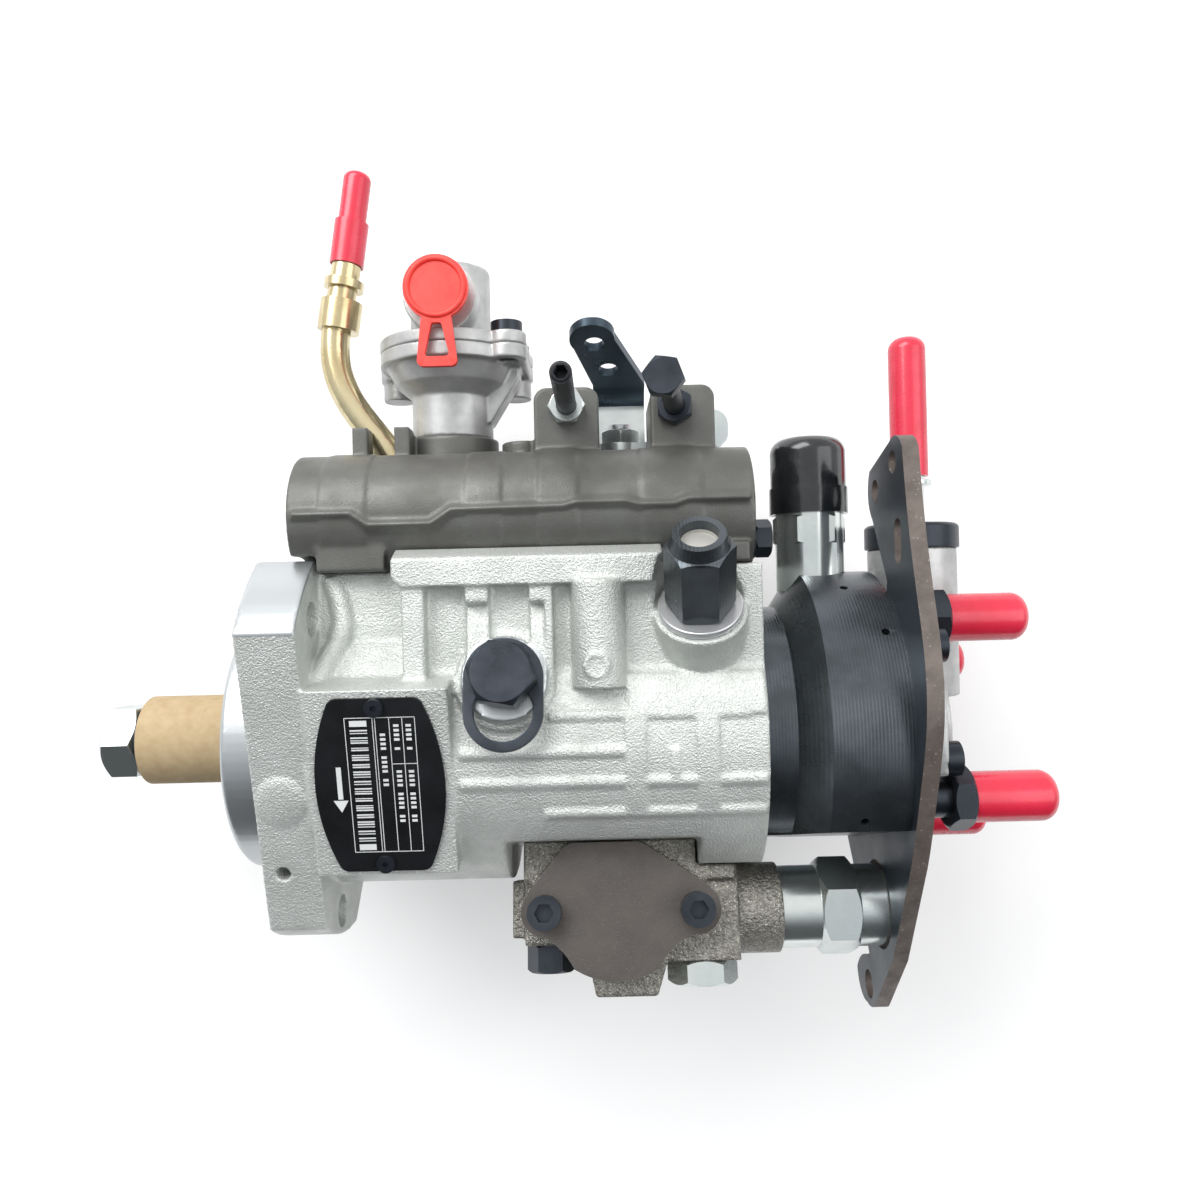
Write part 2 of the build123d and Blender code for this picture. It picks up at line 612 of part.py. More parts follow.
def drive_shaft_bush():
    x0 = -SPIGOT_LEN + SEAL_LEN
    ring = cyl_x(JOURNAL_R + BUSH_WALL, x0, x0 + BUSH_LEN)
    return ring - cyl_x(JOURNAL_R + RUN_FIT, x0 - 1, x0 + BUSH_LEN + 1)


def governor_weights():
    """Bob weights standing in the cage round the shaft."""
    weights = []
    inner = MID_SHAFT_R + 8.0
    outer = CAGE_R - CAGE_WALL - SEAT_GAP
    for i in range(WEIGHT_COUNT):
        weight = block(CAGE_X[0] + 2 + SEAT_GAP, CAGE_X[1] - 1, inner, outer - 1.2, -4.6, 4.6)
        weights.append(Rot(i * 360.0 / WEIGHT_COUNT, 0, 0) * weight)
    return group(weights)


def governor_sleeve():
    sleeve = cyl_x(SLEEVE_R - 4.5, SLEEVE_X0 - 3, SLEEVE_X0 + SLEEVE_LEN) + cyl_x(SLEEVE_R, SLEEVE_X0, SLEEVE_X0 + 4)
    return sleeve - cyl_x(MID_SHAFT_R + RUN_FIT, SLEEVE_X0 - 5, SLEEVE_X0 + SLEEVE_LEN + 1)


def arm_foot_x():
    return SLEEVE_X0 + 4 + SEAT_GAP


def governor_arm():
    """Forked arm: prongs press on the sleeve's collar, and a cross pin carries it in the cover."""
    x0 = arm_foot_x() + 1.0
    arm = block(x0, x0 + ARM_T, 24, ARM_PIVOT_Y + 5, -ARM_FORK_Z, ARM_FORK_Z)
    for side in (1, -1):
        z = side * (ARM_FORK_Z + 1.6)
        arm += block(x0, x0 + ARM_T, ARM_FOOT_Y - 3, ARM_PIVOT_Y, z - ARM_PRONG_W / 2, z + ARM_PRONG_W / 2)
    arm += cyl_z(ARM_PIVOT_R + 2, -ARM_FORK_Z, ARM_FORK_Z, x0 + ARM_T / 2, ARM_PIVOT_Y)
    return arm + cyl_z(ARM_PIVOT_R, -TOP_SLOT_Z - 6, TOP_SLOT_Z + 6, x0 + ARM_T / 2, ARM_PIVOT_Y)


def metering_valve():
    valve = cyl_y(METER_R, METER_Y[0], METER_Y[1], METER_X, 0)
    return valve + block(METER_X - 12, METER_X, METER_Y[1] - 3, METER_Y[1], -2.5, 2.5)


# ================================================================ cam and distributor
def cam_ring():
    ring = cyl_x(CAVITY_R - RUN_FIT, *CAM_X) - cyl_x(CAM_IN_R, CAM_X[0] - 1, CAM_X[1] + 1)
    for i in range(4):
        valley = cyl_x(7.0, CAM_X[0] - 1, CAM_X[1] + 1, CAM_IN_R - 7.0 + CAM_VALLEY, 0)
        ring -= Rot(45.0 + 90.0 * i, 0, 0) * valley
    stem = cyl_y(CAM_PIN_STEM_R, ADVANCE_Y, -CAVITY_R + 5, ADVANCE_X, 0)
    return turned(ring + stem + Pos(ADVANCE_X, ADVANCE_Y, 0) * Sphere(CAM_PIN_R))


def plunger_places():
    return [90.0 * i for i in range(4)]


def cam_rollers():
    x0, x1 = CAM_X[0] + 3, CAM_X[1] - 3
    return group([Rot(a, 0, 0) * cyl_x(ROLLER_R, x0, x1, ROLLER_CENTRE_R, 0) for a in plunger_places()])


def roller_shoes():
    x0, x1 = CAM_X[0] + 3, CAM_X[1] - 3
    shoe = block(x0, x1, 13.6, ROTOR_HEAD_R - 0.6, -SHOE_W / 2 + 0.1, SHOE_W / 2 - 0.1)
    shoe -= cyl_x(ROLLER_R + RUN_FIT, x0 - 1, x1 + 1, ROLLER_CENTRE_R, 0)
    return group([Rot(a, 0, 0) * shoe for a in plunger_places()])


def pump_plungers():
    mid = (CAM_X[0] + CAM_X[1]) / 2
    plunger = cyl_y(PLUNGER_R - 0.02, 6.0, 13.6, mid, 0)
    return group([Rot(a, 0, 0) * plunger for a in plunger_places()])


def distributor_rotor():
    mid = (CAM_X[0] + CAM_X[1]) / 2
    rotor = cyl_x(ROTOR_HEAD_R, CAM_X[0] + 1, CAM_X[1] - 1) + cyl_x(ROTOR_R, MID_SHAFT_END_X, ROTOR_END_X)
    for a in plunger_places():
        slot = block(CAM_X[0] + 3, CAM_X[1] - 3, 13.6, ROTOR_HEAD_R + 2, -SHOE_W / 2, SHOE_W / 2)
        rotor -= Rot(a, 0, 0) * (slot + cyl_y(PLUNGER_R, 5.0, 14, mid, 0))
    rotor -= cyl_x(1.5, mid, ROTOR_END_X - 10)
    return rotor


# ================================================================ hydraulic head and outlets
def hydraulic_head():
    x_neck = HOUSING_LEN + NECK_LEN
    x_drum = x_neck + CONE_LEN
    head = turned_x([(HEAD_BORE_X0 + 1, 0), (HEAD_BORE_X0 + 1, SPIGOT_HEAD_R), (HOUSING_LEN, SPIGOT_HEAD_R),
                     (HOUSING_LEN, NECK_R), (x_neck, NECK_R), (x_drum, DRUM_R), (DRUM_END_X, DRUM_R),
                     (DRUM_END_X, 0)])
    head -= turned(block(HOUSING_LEN, DRUM_END_X + 1, -HEAD_FACET - DRUM_R, -HEAD_FACET, -DRUM_R, DRUM_R))
    head -= cyl_x(ROTOR_R + RUN_FIT, HEAD_BORE_X0, DRUM_END_X + 1)
    head -= cyl_y(METER_R + RUN_FIT, METER_Y[0] - 1, SPIGOT_HEAD_R + 1, METER_X, 0)
    head -= cyl_y(SOLENOID_BODY_R + 0.6, SOLENOID_SEAT_Y, DRUM_R + 5, SOLENOID_X, 0)
    head -= cyl_y(SOLENOID_THREAD_R + THREAD_FIT, SOLENOID_SEAT_Y - SOLENOID_THREAD_LEN - 4, DRUM_R, SOLENOID_X, 0)
    for angle in OUTLET_ANGLES:
        y, z = on_circle(OUTLET_R, angle)
        head -= cyl_x(OUTLET_STEM_R + THREAD_FIT, DRUM_END_X - OUTLET_DEPTH - 1, DRUM_END_X + 1, y, z)
    for angle in END_SCREW_ANGLES:
        y, z = on_circle(END_SCREW_R, angle)
        head -= cyl_x(M6_R + THREAD_FIT, DRUM_END_X - 10, DRUM_END_X + 1, y, z)
    for x, turn in PIN_HOLES:
        head -= Rot(turn, 0, 0) * cyl_y(PIN_HOLE_R, DRUM_R - PIN_HOLE_DEPTH, DRUM_R + 2, x, 0)
    return head


def outlet_unions():
    unions = []
    for angle in OUTLET_ANGLES:
        y, z = on_circle(OUTLET_R, angle)
        body = cyl_x(OUTLET_STEM_R, DRUM_END_X - OUTLET_DEPTH, OUTLET_HEX_X[0], y, z)
        body += chamfered_hex(plane_x(OUTLET_HEX_X[0], y, z), OUTLET_HEX_AF, OUTLET_HEX_X[1] - OUTLET_HEX_X[0],
                              turn=angle)
        body += cyl_x(OUTLET_TIP_R, OUTLET_HEX_X[1], OUTLET_HEX_X[1] + OUTLET_TIP_LEN, y, z)
        body -= cyl_x(OUTLET_BORE_R, DRUM_END_X - OUTLET_DEPTH - 1, OUTLET_HEX_X[1] - 2, y, z)
        body -= cyl_x(1.5, OUTLET_HEX_X[1] - 3, OUTLET_HEX_X[1] + OUTLET_TIP_LEN + 1, y, z)
        unions.append(body)
    return group(unions)


def delivery_valves():
    valves = []
    for angle in OUTLET_ANGLES:
        y, z = on_circle(OUTLET_R, angle)
        x0 = DRUM_END_X - OUTLET_DEPTH + SEAT_GAP
        valves.append(cyl_x(OUTLET_BORE_R - RUN_FIT, x0, x0 + VALVE_LEN, y, z)
                      + cyl_x(1.8, x0 + VALVE_LEN - 1, x0 + VALVE_LEN + 6, y, z))
    return group(valves)


def outlet_caps():
    caps = []
    for angle in OUTLET_ANGLES:
        y, z = on_circle(OUTLET_R, angle)
        x0 = OUTLET_HEX_X[1]
        cap = cyl_x(CAP_R, x0, x0 + CAP_LEN, y, z)
        cap = fillet(cap.edges().group_by(Axis.X)[-1], CAP_R * 0.6)
        caps.append(cap - cyl_x(OUTLET_TIP_R + SEAT_GAP, x0 - 1, x0 + CAP_LEN - CAP_WALL - 2, y, z))
    return group(caps)


# ================================================================ support plate
def support_plate():
    """Bracket plate across the shaft: a bulged near edge, an ear at each end, clearance round the unions."""
    near = Spline([(84.0, 42.9), (60.0, 47.3), (41.5, 52.7), (21.6, 58.1), (7.0, 58.0), (-15.6, 50.6), (-36.0, 42.1)],
                  tangents=[(-1, 0.14), (-1, -0.5)])
    outline = Curve() + [near,
                         Line((-36.0, 42.1), (-70.3, 22.2)),
                         Line((-70.3, 22.2), (-93.0, 1.5)),
                         ThreePointArc((-93.0, 1.5), (-94.9, -2.5), (-95.2, -7.0)),
                         ThreePointArc((-95.2, -7.0), (-93.2, -15.8), (-87.5, -18.9)),
                         ThreePointArc((-87.5, -18.9), (-83.1, -15.1), (-78.7, -2.6)),
                         Line((-78.7, -2.6), (-60.0, -14.0)),
                         Line((-60.0, -14.0), (-42.0, -30.0)),
                         ThreePointArc((-42.0, -30.0), (-12.0, -45.0), (20.0, -38.0)),
                         Line((20.0, -38.0), (20.0, 16.0)),
                         Line((20.0, 16.0), (46.0, 26.0)),
                         Line((46.0, 26.0), (66.0, 12.0)),
                         ThreePointArc((66.0, 12.0), (74.0, 7.8), (81.5, 10.0)),
                         Line((81.5, 10.0), (87.5, 31.0)),
                         ThreePointArc((87.5, 31.0), (88.0, 38.6), (84.0, 42.9))]
    plate = extrude(plane_x(DRUM_END_X) * make_face(outline), amount=PLATE_T)
    cuts = [cyl_x(PLATE_BORE_R, DRUM_END_X - 1, DRUM_END_X + PLATE_T + 1),
            turned(cyl_x(COLD_R + PLATE_HOLE_GAP, DRUM_END_X - 1, DRUM_END_X + PLATE_T + 1, COLD_Y, COLD_Z)),
            cyl_x(PLATE_EAR_HOLE_R, DRUM_END_X - 1, DRUM_END_X + PLATE_T + 1, *PLATE_EAR_HOLE)]
    for angle in OUTLET_ANGLES:
        y, z = on_circle(OUTLET_R, angle)
        cuts.append(cyl_x(OUTLET_STEM_R + PLATE_HOLE_GAP, DRUM_END_X - 1, DRUM_END_X + PLATE_T + 1, y, z))
    for angle in END_SCREW_ANGLES:
        cuts.append(cyl_x(M6_R + 0.3, DRUM_END_X - 1, DRUM_END_X + PLATE_T + 1, *on_circle(END_SCREW_R, angle)))
    for y, z in PLATE_TOP_HOLES:
        cuts.append(cyl_x(PLATE_HOLE_R, DRUM_END_X - 1, DRUM_END_X + PLATE_T + 1, y, z))
    y, z, length, half = PLATE_SLOT
    cuts.append(extrude(plane_x(DRUM_END_X - 1, y, z) * SlotOverall(length + 2 * half, 2 * half),
                        amount=PLATE_T + 2))
    for cut in cuts:
        plate -= cut
    return plate


def cap_screw(plane, length, head_h=M6_HEAD_H):
    """M6 socket cap screw whose head stands on the plane and whose shank goes the other way."""
    screw = plane.location * (Pos(0, 0, head_h / 2) * Cylinder(M6_HEAD_R, head_h)
                              + Pos(0, 0, -length / 2) * Cylinder(M6_R, length))
    return screw - extrude(plane.offset(head_h - 3) * hex_sketch(M6_KEY_AF), amount=4)


def cap_screws():
    """The M6 socket screws of the support plate, end plate, advance cover and boost capsule."""
    x_plate = DRUM_END_X + PLATE_T
    screws = []
    for angle in END_SCREW_ANGLES:
        y, z = on_circle(END_SCREW_R, angle)
        screws.append(cap_screw(plane_x(x_plate + END_FLANGE_T, y, z), END_FLANGE_T + PLATE_T + 8, END_HEAD_H))
    for x in ADVANCE_SCREW_X:
        seat = plane_z(ADVANCE_Z[1] + ADVANCE_COVER_T, x, ADVANCE_SCREW_Y)
        screws.append(turned(cap_screw(seat, ADVANCE_SCREW_LEN)))
    for x, z in BOOST_EARS:
        screws.append(cap_screw(plane_y(BOOST_FLANGE_Y1, x, z), BOOST_FLANGE_Y1 - BOOST_FLANGE_Y0 - 1, 3.4))
    return group(screws)


# ================================================================ transfer pump and inlet
def end_plate():
    """Cover of the transfer pump: barred flange with four screws, round body, and the inlet's boss."""
    x0 = DRUM_END_X + PLATE_T
    x1 = x0 + END_FLANGE_T
    along = Rot(0, 0, (END_SCREW_ANGLES[0] + END_SCREW_ANGLES[1]) / 2)
    bar = Circle(END_FLANGE_R) & (along * Rectangle(3 * END_FLANGE_R, 2 * END_FLANGE_HALF))
    plate = prism(plane_x(x0), bar, END_FLANGE_T) + cyl_x(END_BODY_R, x0, x0 + END_BODY_T)
    xm = inlet_x()
    boss = cyl_y(INLET_R, 8, INLET_RING_Y[0], xm, INLET_Z)
    plate += boss & block(x0, xm + 2 * INLET_R, 0, END_FLANGE_R - 6, -60, 60)
    plate += cyl_y(INLET_R, END_FLANGE_R + 5, INLET_RING_Y[0], xm, INLET_Z)
    plate += boss & block(xm - INLET_R + INLET_BACK_CUT, xm + 2 * INLET_R, 0, 100, -60, 60)
    plate += cyl_y(INLET_R - 1.6, INLET_RING_Y[0] - 1, INLET_TOP_Y, xm, INLET_Z)
    plate -= cyl_x(PUMP_BORE_R, x0 - 1, x0 + PUMP_BORE_DEPTH, PUMP_OFFSET, 0)
    plate -= cyl_y(INLET_STUB_R - 1.6, END_BODY_R - 4, INLET_TOP_Y + 1, xm, INLET_Z)
    plate -= cyl_y(INLET_STUB_R + THREAD_FIT, INLET_TOP_Y - 12, INLET_TOP_Y + 1, xm, INLET_Z)
    for angle in END_SCREW_ANGLES:
        y, z = on_circle(END_SCREW_R, angle)
        plate -= cyl_x(M6_R + THREAD_FIT, x0 - 1, x1 + 1, y, z)
        plate -= cyl_x(M6_HEAD_R + 0.4, x1, x1 + 20, y, z)
    for angle in OUTLET_ANGLES:
        y, z = on_circle(OUTLET_R, angle)
        plate -= cyl_x(OUTLET_STEM_R + 0.3, x0 - 1, OUTLET_HEX_X[0], y, z)
        plate -= cyl_x(OUTLET_HEX_AF / sqrt(3) + 0.3, OUTLET_HEX_X[0] - 0.3, OUTLET_HEX_X[1] + CAP_LEN + 1, y, z)
    return plate


def inlet_x():
    return DRUM_END_X + PLATE_T + INLET_BACK_CUT - 0.2 + 14.2


def inlet_ring():
    ring = cyl_y(INLET_RING_R, *INLET_RING_Y, inlet_x(), INLET_Z)
    ring = chamfer(ring.edges().group_by(Axis.Y)[-1], 1.0)
    return ring - cyl_y(INLET_R - 1.6 + THREAD_FIT, INLET_RING_Y[0] - 1, INLET_RING_Y[1] + 1, inlet_x(), INLET_Z)


def inlet_stub():
    stub = cyl_y(INLET_STUB_R, INLET_TOP_Y - 12, INLET_STUB_TOP_Y, inlet_x(), INLET_Z)
    stub += cyl_y(INLET_COLLAR_R, INLET_CAP_Y[0] - 3.2, INLET_CAP_Y[0] - 1.4, inlet_x(), INLET_Z)
    return stub - cyl_y(INLET_STUB_R - 1.2, INLET_TOP_Y - 13, INLET_STUB_TOP_Y + 1, inlet_x(), INLET_Z)


def inlet_cap():
    cap = cyl_y(INLET_CAP_R, *INLET_CAP_Y, inlet_x(), INLET_Z)
    cap = fillet(cap.edges().group_by(Axis.Y)[-1], INLET_CAP_R * 0.7)
    return cap - cyl_y(INLET_STUB_R + SEAT_GAP, INLET_CAP_Y[0] - 1, INLET_STUB_TOP_Y + 2, inlet_x(), INLET_Z)


def transfer_pump_rotor():
    x0 = DRUM_END_X + PLATE_T + SEAT_GAP
    x1 = x0 + PUMP_BORE_DEPTH - 2 * SEAT_GAP - 1
    rotor = cyl_x(PUMP_ROTOR_R, x0, x1) - cyl_x(ROTOR_R + 0.02, x0 - 1, ROTOR_END_X)
    for i in range(4):
        rotor -= Rot(45 + 90 * i, 0, 0) * block(x0 - 1, x1 + 1, ROTOR_R + 0.8, PUMP_ROTOR_R + 2, -1.2, 1.2)
    return rotor


def transfer_pump_blades():
    x0 = DRUM_END_X + PLATE_T + SEAT_GAP
    x1 = x0 + PUMP_BORE_DEPTH - 2 * SEAT_GAP - 1
    blade = block(x0, x1, ROTOR_R + 0.8, PUMP_ROTOR_R + 0.8, -1.15, 1.15)
    return group([Rot(45 + 90 * i, 0, 0) * blade for i in range(4)])


# ================================================================ control cover
def right_stop_plane(z):
    """Plane across the leaning stop screw, where its axis is at the height z above the shaft."""
    lean = radians(RIGHT_STOP_LEAN)
    x = RIGHT_STOP_X - (z - POST_Z[1]) * tan(lean)
    return Plane(origin=(x, RIGHT_STOP_Y, z), x_dir=(0, 1, 0), z_dir=(-sin(lean), 0, cos(lean)))


def post(x0, x1):
    shape = block(x0, x1, COVER_TOP_Y - 4, POST_TOP_Y, *POST_Z)
    return fillet(shape.edges().filter_by(Axis.Z).group_by(Axis.Y)[-1], 4.0)


def control_cover():
    x0, x1 = COVER_X
    cover = cyl_x(COVER_TUBE_R, x0, x1, COVER_TUBE_Y, COVER_TUBE_Z)
    cover += block(x0 + 4, x1 - 3, COVER_FACE_Y, COVER_TOP_Y, COVER_BACK_Z, COVER_TUBE_Z)
    cover -= block(x0 - 5, x1 + 5, 0, COVER_FACE_Y, -80, 80)
    cover += block(*COVER_SKIRT_X, COVER_FACE_Y, COVER_TUBE_Y - 6, 0, COVER_SKIRT_Z)
    cover -= block(x0 - 5, FLANGE_T + 0.8, 0, COVER_FLANGE_CLEAR_Y, -80, 80)
    cover -= block(PAD_X[0] - 0.6, PAD_X[1] + 0.6, COVER_FACE_Y - 5, PAD_CREST[0] + 0.3, PAD_CREST[1] - 0.6, 80)
    for lug_x in LUG_X:
        cover += block(lug_x - 2.5, lug_x + 2.5, COVER_TOP_Y - 4, LUG_TOP_Y, *LUG_Z)
    cover += cyl_y(BOOST_COLLAR_R, COVER_TOP_Y - 4, BOOST_COLLAR_Y, BOOST_X, BOOST_Z)
    cover += cyl_y(7, COVER_TOP_Y - 4, COVER_TOP_Y + 6, LEFT_POST_X[0] - 4, 10)
    cover += post(*LEFT_POST_X) + post(*RIGHT_POST_X)
    cover += cyl_y(THROTTLE_SHAFT_R + 5, COVER_TOP_Y - 4, LEVER_Y0 - 0.5, THROTTLE_X, THROTTLE_Z)
    cavity = block(FLANGE_T + 8, x1 - COVER_WALL, COVER_FACE_Y - 1, COVER_TOP_Y - COVER_WALL,
                   COVER_BACK_Z + COVER_WALL, COVER_TUBE_Z + 8)
    cover -= cavity
    cover -= cyl_y(BOOST_ROD_R + RUN_FIT, COVER_TOP_Y - 10, BOOST_COLLAR_Y + 1, BOOST_X, BOOST_Z)
    cover -= cyl_y(THROTTLE_SHAFT_R + RUN_FIT, COVER_TOP_Y - 10, LEVER_Y0 + 1, THROTTLE_X, THROTTLE_Z)
    cover -= cyl_z(M6_R + THREAD_FIT, POST_Z[0] - 1, POST_Z[1] + 1, LEFT_STOP_X, STOP_Y)
    cover -= prism(right_stop_plane(POST_Z[0] - 6), Circle(M6_R + THREAD_FIT), 45)
    cover -= cyl_x(M6_R + THREAD_FIT, x1 - 12, x1 + 1, *END_PLUG_YZ)
    path = tube_path()
    entry = Plane(origin=path @ 0, z_dir=path % 0)
    cover -= extrude(entry.offset(-0.2) * Circle(TUBE_R + SEAT_GAP), amount=12)
    return cover


def cover_pivot_blocks():
    """Two bearing blocks for the governor arm's cross pin, cast into the cover's roof."""
    xm = arm_foot_x() + 1.0 + ARM_T / 2
    blocks = []
    for side in (1, -1):
        z0, z1 = sorted((side * (ARM_FORK_Z + 5.5), side * (TOP_SLOT_Z + 6.0)))
        leg = block(xm - 6, xm + 6, ARM_PIVOT_Y - 6, COVER_TOP_Y - COVER_WALL + 0.5, z0, z1)
        blocks.append(leg - cyl_z(ARM_PIVOT_R + RUN_FIT, z0 - 1, z1 + 1, xm, ARM_PIVOT_Y))
    return blocks


def control_cover_with_pivots():
    cover = control_cover()
    for leg in cover_pivot_blocks():
        cover += leg
    return cover


def cover_end_plug():
    x1 = COVER_X[1]
    plug = chamfered_hex(plane_x(x1 + 1.2, *END_PLUG_YZ), END_PLUG_AF, 5.0)
    washer = cyl_x(END_PLUG_AF / 2 + 1, x1, x1 + 1.2, *END_PLUG_YZ)
    return plug + washer + cyl_x(M6_R, x1 - 10, x1 + 2, *END_PLUG_YZ)


# ================================================================ stop screws and throttle lever
def idle_stop_screw():
    screw = cyl_z(M6_R, STOP_TIP_Z, LEFT_STOP_TOP_Z, LEFT_STOP_X, STOP_Y)
    screw = chamfer(screw.edges().group_by(Axis.Z)[-1], 0.6)
    return screw - extrude(plane_z(LEFT_STOP_TOP_Z - 6, LEFT_STOP_X, STOP_Y) * hex_sketch(3.4), amount=8)


def max_stop_screw():
    seat = right_stop_plane(RIGHT_STOP_TOP_Z)
    head = chamfered_hex(seat.offset(-BOLT_HEAD_H), BOLT_HEAD_AF, BOLT_HEAD_H, both=False, turn=20)
    length = (RIGHT_STOP_TOP_Z - STOP_TIP_Z) / cos(radians(RIGHT_STOP_LEAN)) - 0.8
    return head + prism(seat.offset(-length), Circle(M6_R), length - 1)


def stop_screw_locknuts():
    left = chamfered_hex(plane_z(POST_Z[1], LEFT_STOP_X, STOP_Y), LOCKNUT_AF, LOCKNUT_H)
    left -= cyl_z(M6_R + THREAD_FIT, 0, 60, LEFT_STOP_X, STOP_Y)
    seat = right_stop_plane(POST_Z[1] + 1.0)
    right = chamfered_hex(seat, LOCKNUT_AF, LOCKNUT_H)
    right -= extrude(seat.offset(-5) * Circle(M6_R + THREAD_FIT), amount=30)
    return group([left, right])


def throttle_shaft():
    top = LEVER_Y0 + LEVER_T + LEVER_NUT_H + 2
    return cyl_y(THROTTLE_SHAFT_R, COVER_TOP_Y - COVER_WALL - 20, top, THROTTLE_X, THROTTLE_Z)


def throttle_lever():
    contact_z = STOP_TIP_Z - SEAT_GAP - 0.4
    right_x = RIGHT_STOP_X + (POST_Z[1] - STOP_TIP_Z) * tan(radians(RIGHT_STOP_LEAN))
    lever = cyl_y(11, LEVER_Y0, LEVER_Y0 + LEVER_T, THROTTLE_X, THROTTLE_Z)
    lever += block(THROTTLE_X, right_x + 8, LEVER_Y0, LEVER_Y0 + LEVER_T, THROTTLE_Z - 8, contact_z)
    lever += block(THROTTLE_X - 22.5, THROTTLE_X, LEVER_Y0, LEVER_Y0 + LEVER_T, THROTTLE_Z - 7, THROTTLE_Z - 1)
    tab = block(right_x - 7, TAB_END_X, LEVER_Y0, LEVER_Y0 + TAB_H, contact_z - LEVER_T, contact_z)
    lever += fillet(tab.edges().filter_by(Axis.Z).group_by(Axis.X)[-1], 5.0)
    left_tab = block(LEFT_STOP_X - 4.5, LEFT_STOP_X + 4.5, LEVER_Y0, STOP_Y + 4.5, contact_z - LEVER_T, contact_z)
    about = Pos(THROTTLE_X, 0, THROTTLE_Z)
    lever += about * Rot(0, -LEVER_TRAVEL, 0) * about.inverse() * left_tab
    lever += block(THROTTLE_X - ARM_WIDTH / 2, THROTTLE_X + ARM_WIDTH / 2, LEVER_Y0, LEVER_Y0 + LEVER_T,
                   ARM_BACK_Z - LEVER_T / 2, THROTTLE_Z)
    lever += lever_arm()
    lever -= cyl_y(THROTTLE_SHAFT_R + THREAD_FIT, 0, LEVER_Y0 + 20, THROTTLE_X, THROTTLE_Z)
    return lever


def lever_arm():
    """Bent strip: up from the back of the hub plate, over a wide bend, then forward and up, with two holes."""
    rise = radians(ARM_RISE)
    knee_z = ARM_BACK_Z + ARM_BEND_R
    knee_y = ARM_KNEE_Y - ARM_BEND_R
    middle = (radians(90) - rise) / 2 + rise
    start = (ARM_BACK_Z, LEVER_Y0 + LEVER_T / 2)
    bend_from = (ARM_BACK_Z, knee_y)
    bend_mid = (knee_z - ARM_BEND_R * sin(middle), knee_y + ARM_BEND_R * cos(middle))
    bend_to = (knee_z - ARM_BEND_R * sin(rise), knee_y + ARM_BEND_R * cos(rise))
    tip = (bend_to[0] + ARM_LEN * cos(rise), bend_to[1] + ARM_LEN * sin(rise))
    path = Curve() + [Line(start, bend_from), ThreePointArc(bend_from, bend_mid, bend_to), Line(bend_to, tip)]
    side_plane = Plane(origin=(THROTTLE_X + 20, 0, 0), x_dir=(0, 0, 1), z_dir=(-1, 0, 0))
    ribbon = make_face(offset(path, amount=LEVER_T / 2).edges())
    return extrude(side_plane * ribbon, amount=40) & arm_blank()


def arm_blank():
    """Outline of the strip seen along Y: it tapers and leans towards -X above the bend, with a round end."""
    half = ARM_WIDTH / 2
    base_z = ARM_BACK_Z + ARM_BEND_R * 0.8
    points = [(THROTTLE_X - half, ARM_BACK_Z - 5), (THROTTLE_X + half, ARM_BACK_Z - 5), (THROTTLE_X + half, base_z),
              (THROTTLE_X - ARM_SHIFT + ARM_TIP_R, ARM_TIP_Z), (THROTTLE_X - ARM_SHIFT - ARM_TIP_R, ARM_TIP_Z),
              (THROTTLE_X - half, base_z)]
    across_y = Plane(origin=(0, LEVER_Y0 - 5, 0), x_dir=(1, 0, 0), z_dir=(0, 1, 0))
    blank = extrude(across_y * make_face(Polyline([(x, -z) for x, z in points], close=True)), amount=60)
    blank += cyl_y(ARM_TIP_R, LEVER_Y0 - 5, LEVER_Y0 + 55, THROTTLE_X - ARM_SHIFT, ARM_TIP_Z)
    for x, z in ARM_HOLES:
        blank -= cyl_y(ARM_HOLE_R, 0, LEVER_Y0 + 60, THROTTLE_X + x, z)
    return blank


def throttle_nut():
    y0 = LEVER_Y0 + LEVER_T
    nut = chamfered_hex(plane_y(y0, THROTTLE_X, THROTTLE_Z), LEVER_NUT_AF, LEVER_NUT_H)
    return nut - cyl_y(THROTTLE_SHAFT_R + THREAD_FIT, y0 - 1, y0 + 20, THROTTLE_X, THROTTLE_Z)


# ================================================================ boost capsule
def boost_flange(y0, y1, hole_r):
    disc = cyl_y(BOOST_FLANGE_R, y0, y1, BOOST_X, BOOST_Z)
    for x, z in BOOST_EARS:
        disc += cyl_y(BOOST_EAR_LOBE_R, y0, y1, x, z)
    disc += block(BOOST_X, BOOST_EARS[0][0] + BOOST_EAR_LOBE_R - 0.5, y0, y1, BOOST_EARS[1][1], BOOST_EARS[0][1])
    disc += block(BOOST_EARS[2][0], BOOST_X, y0, y1, BOOST_EARS[2][1] - BOOST_EAR_LOBE_R + 0.5, 0)
    for x, z in BOOST_EARS:
        disc -= cyl_y(hole_r, y0 - 1, y1 + 1, x, z)
    return disc


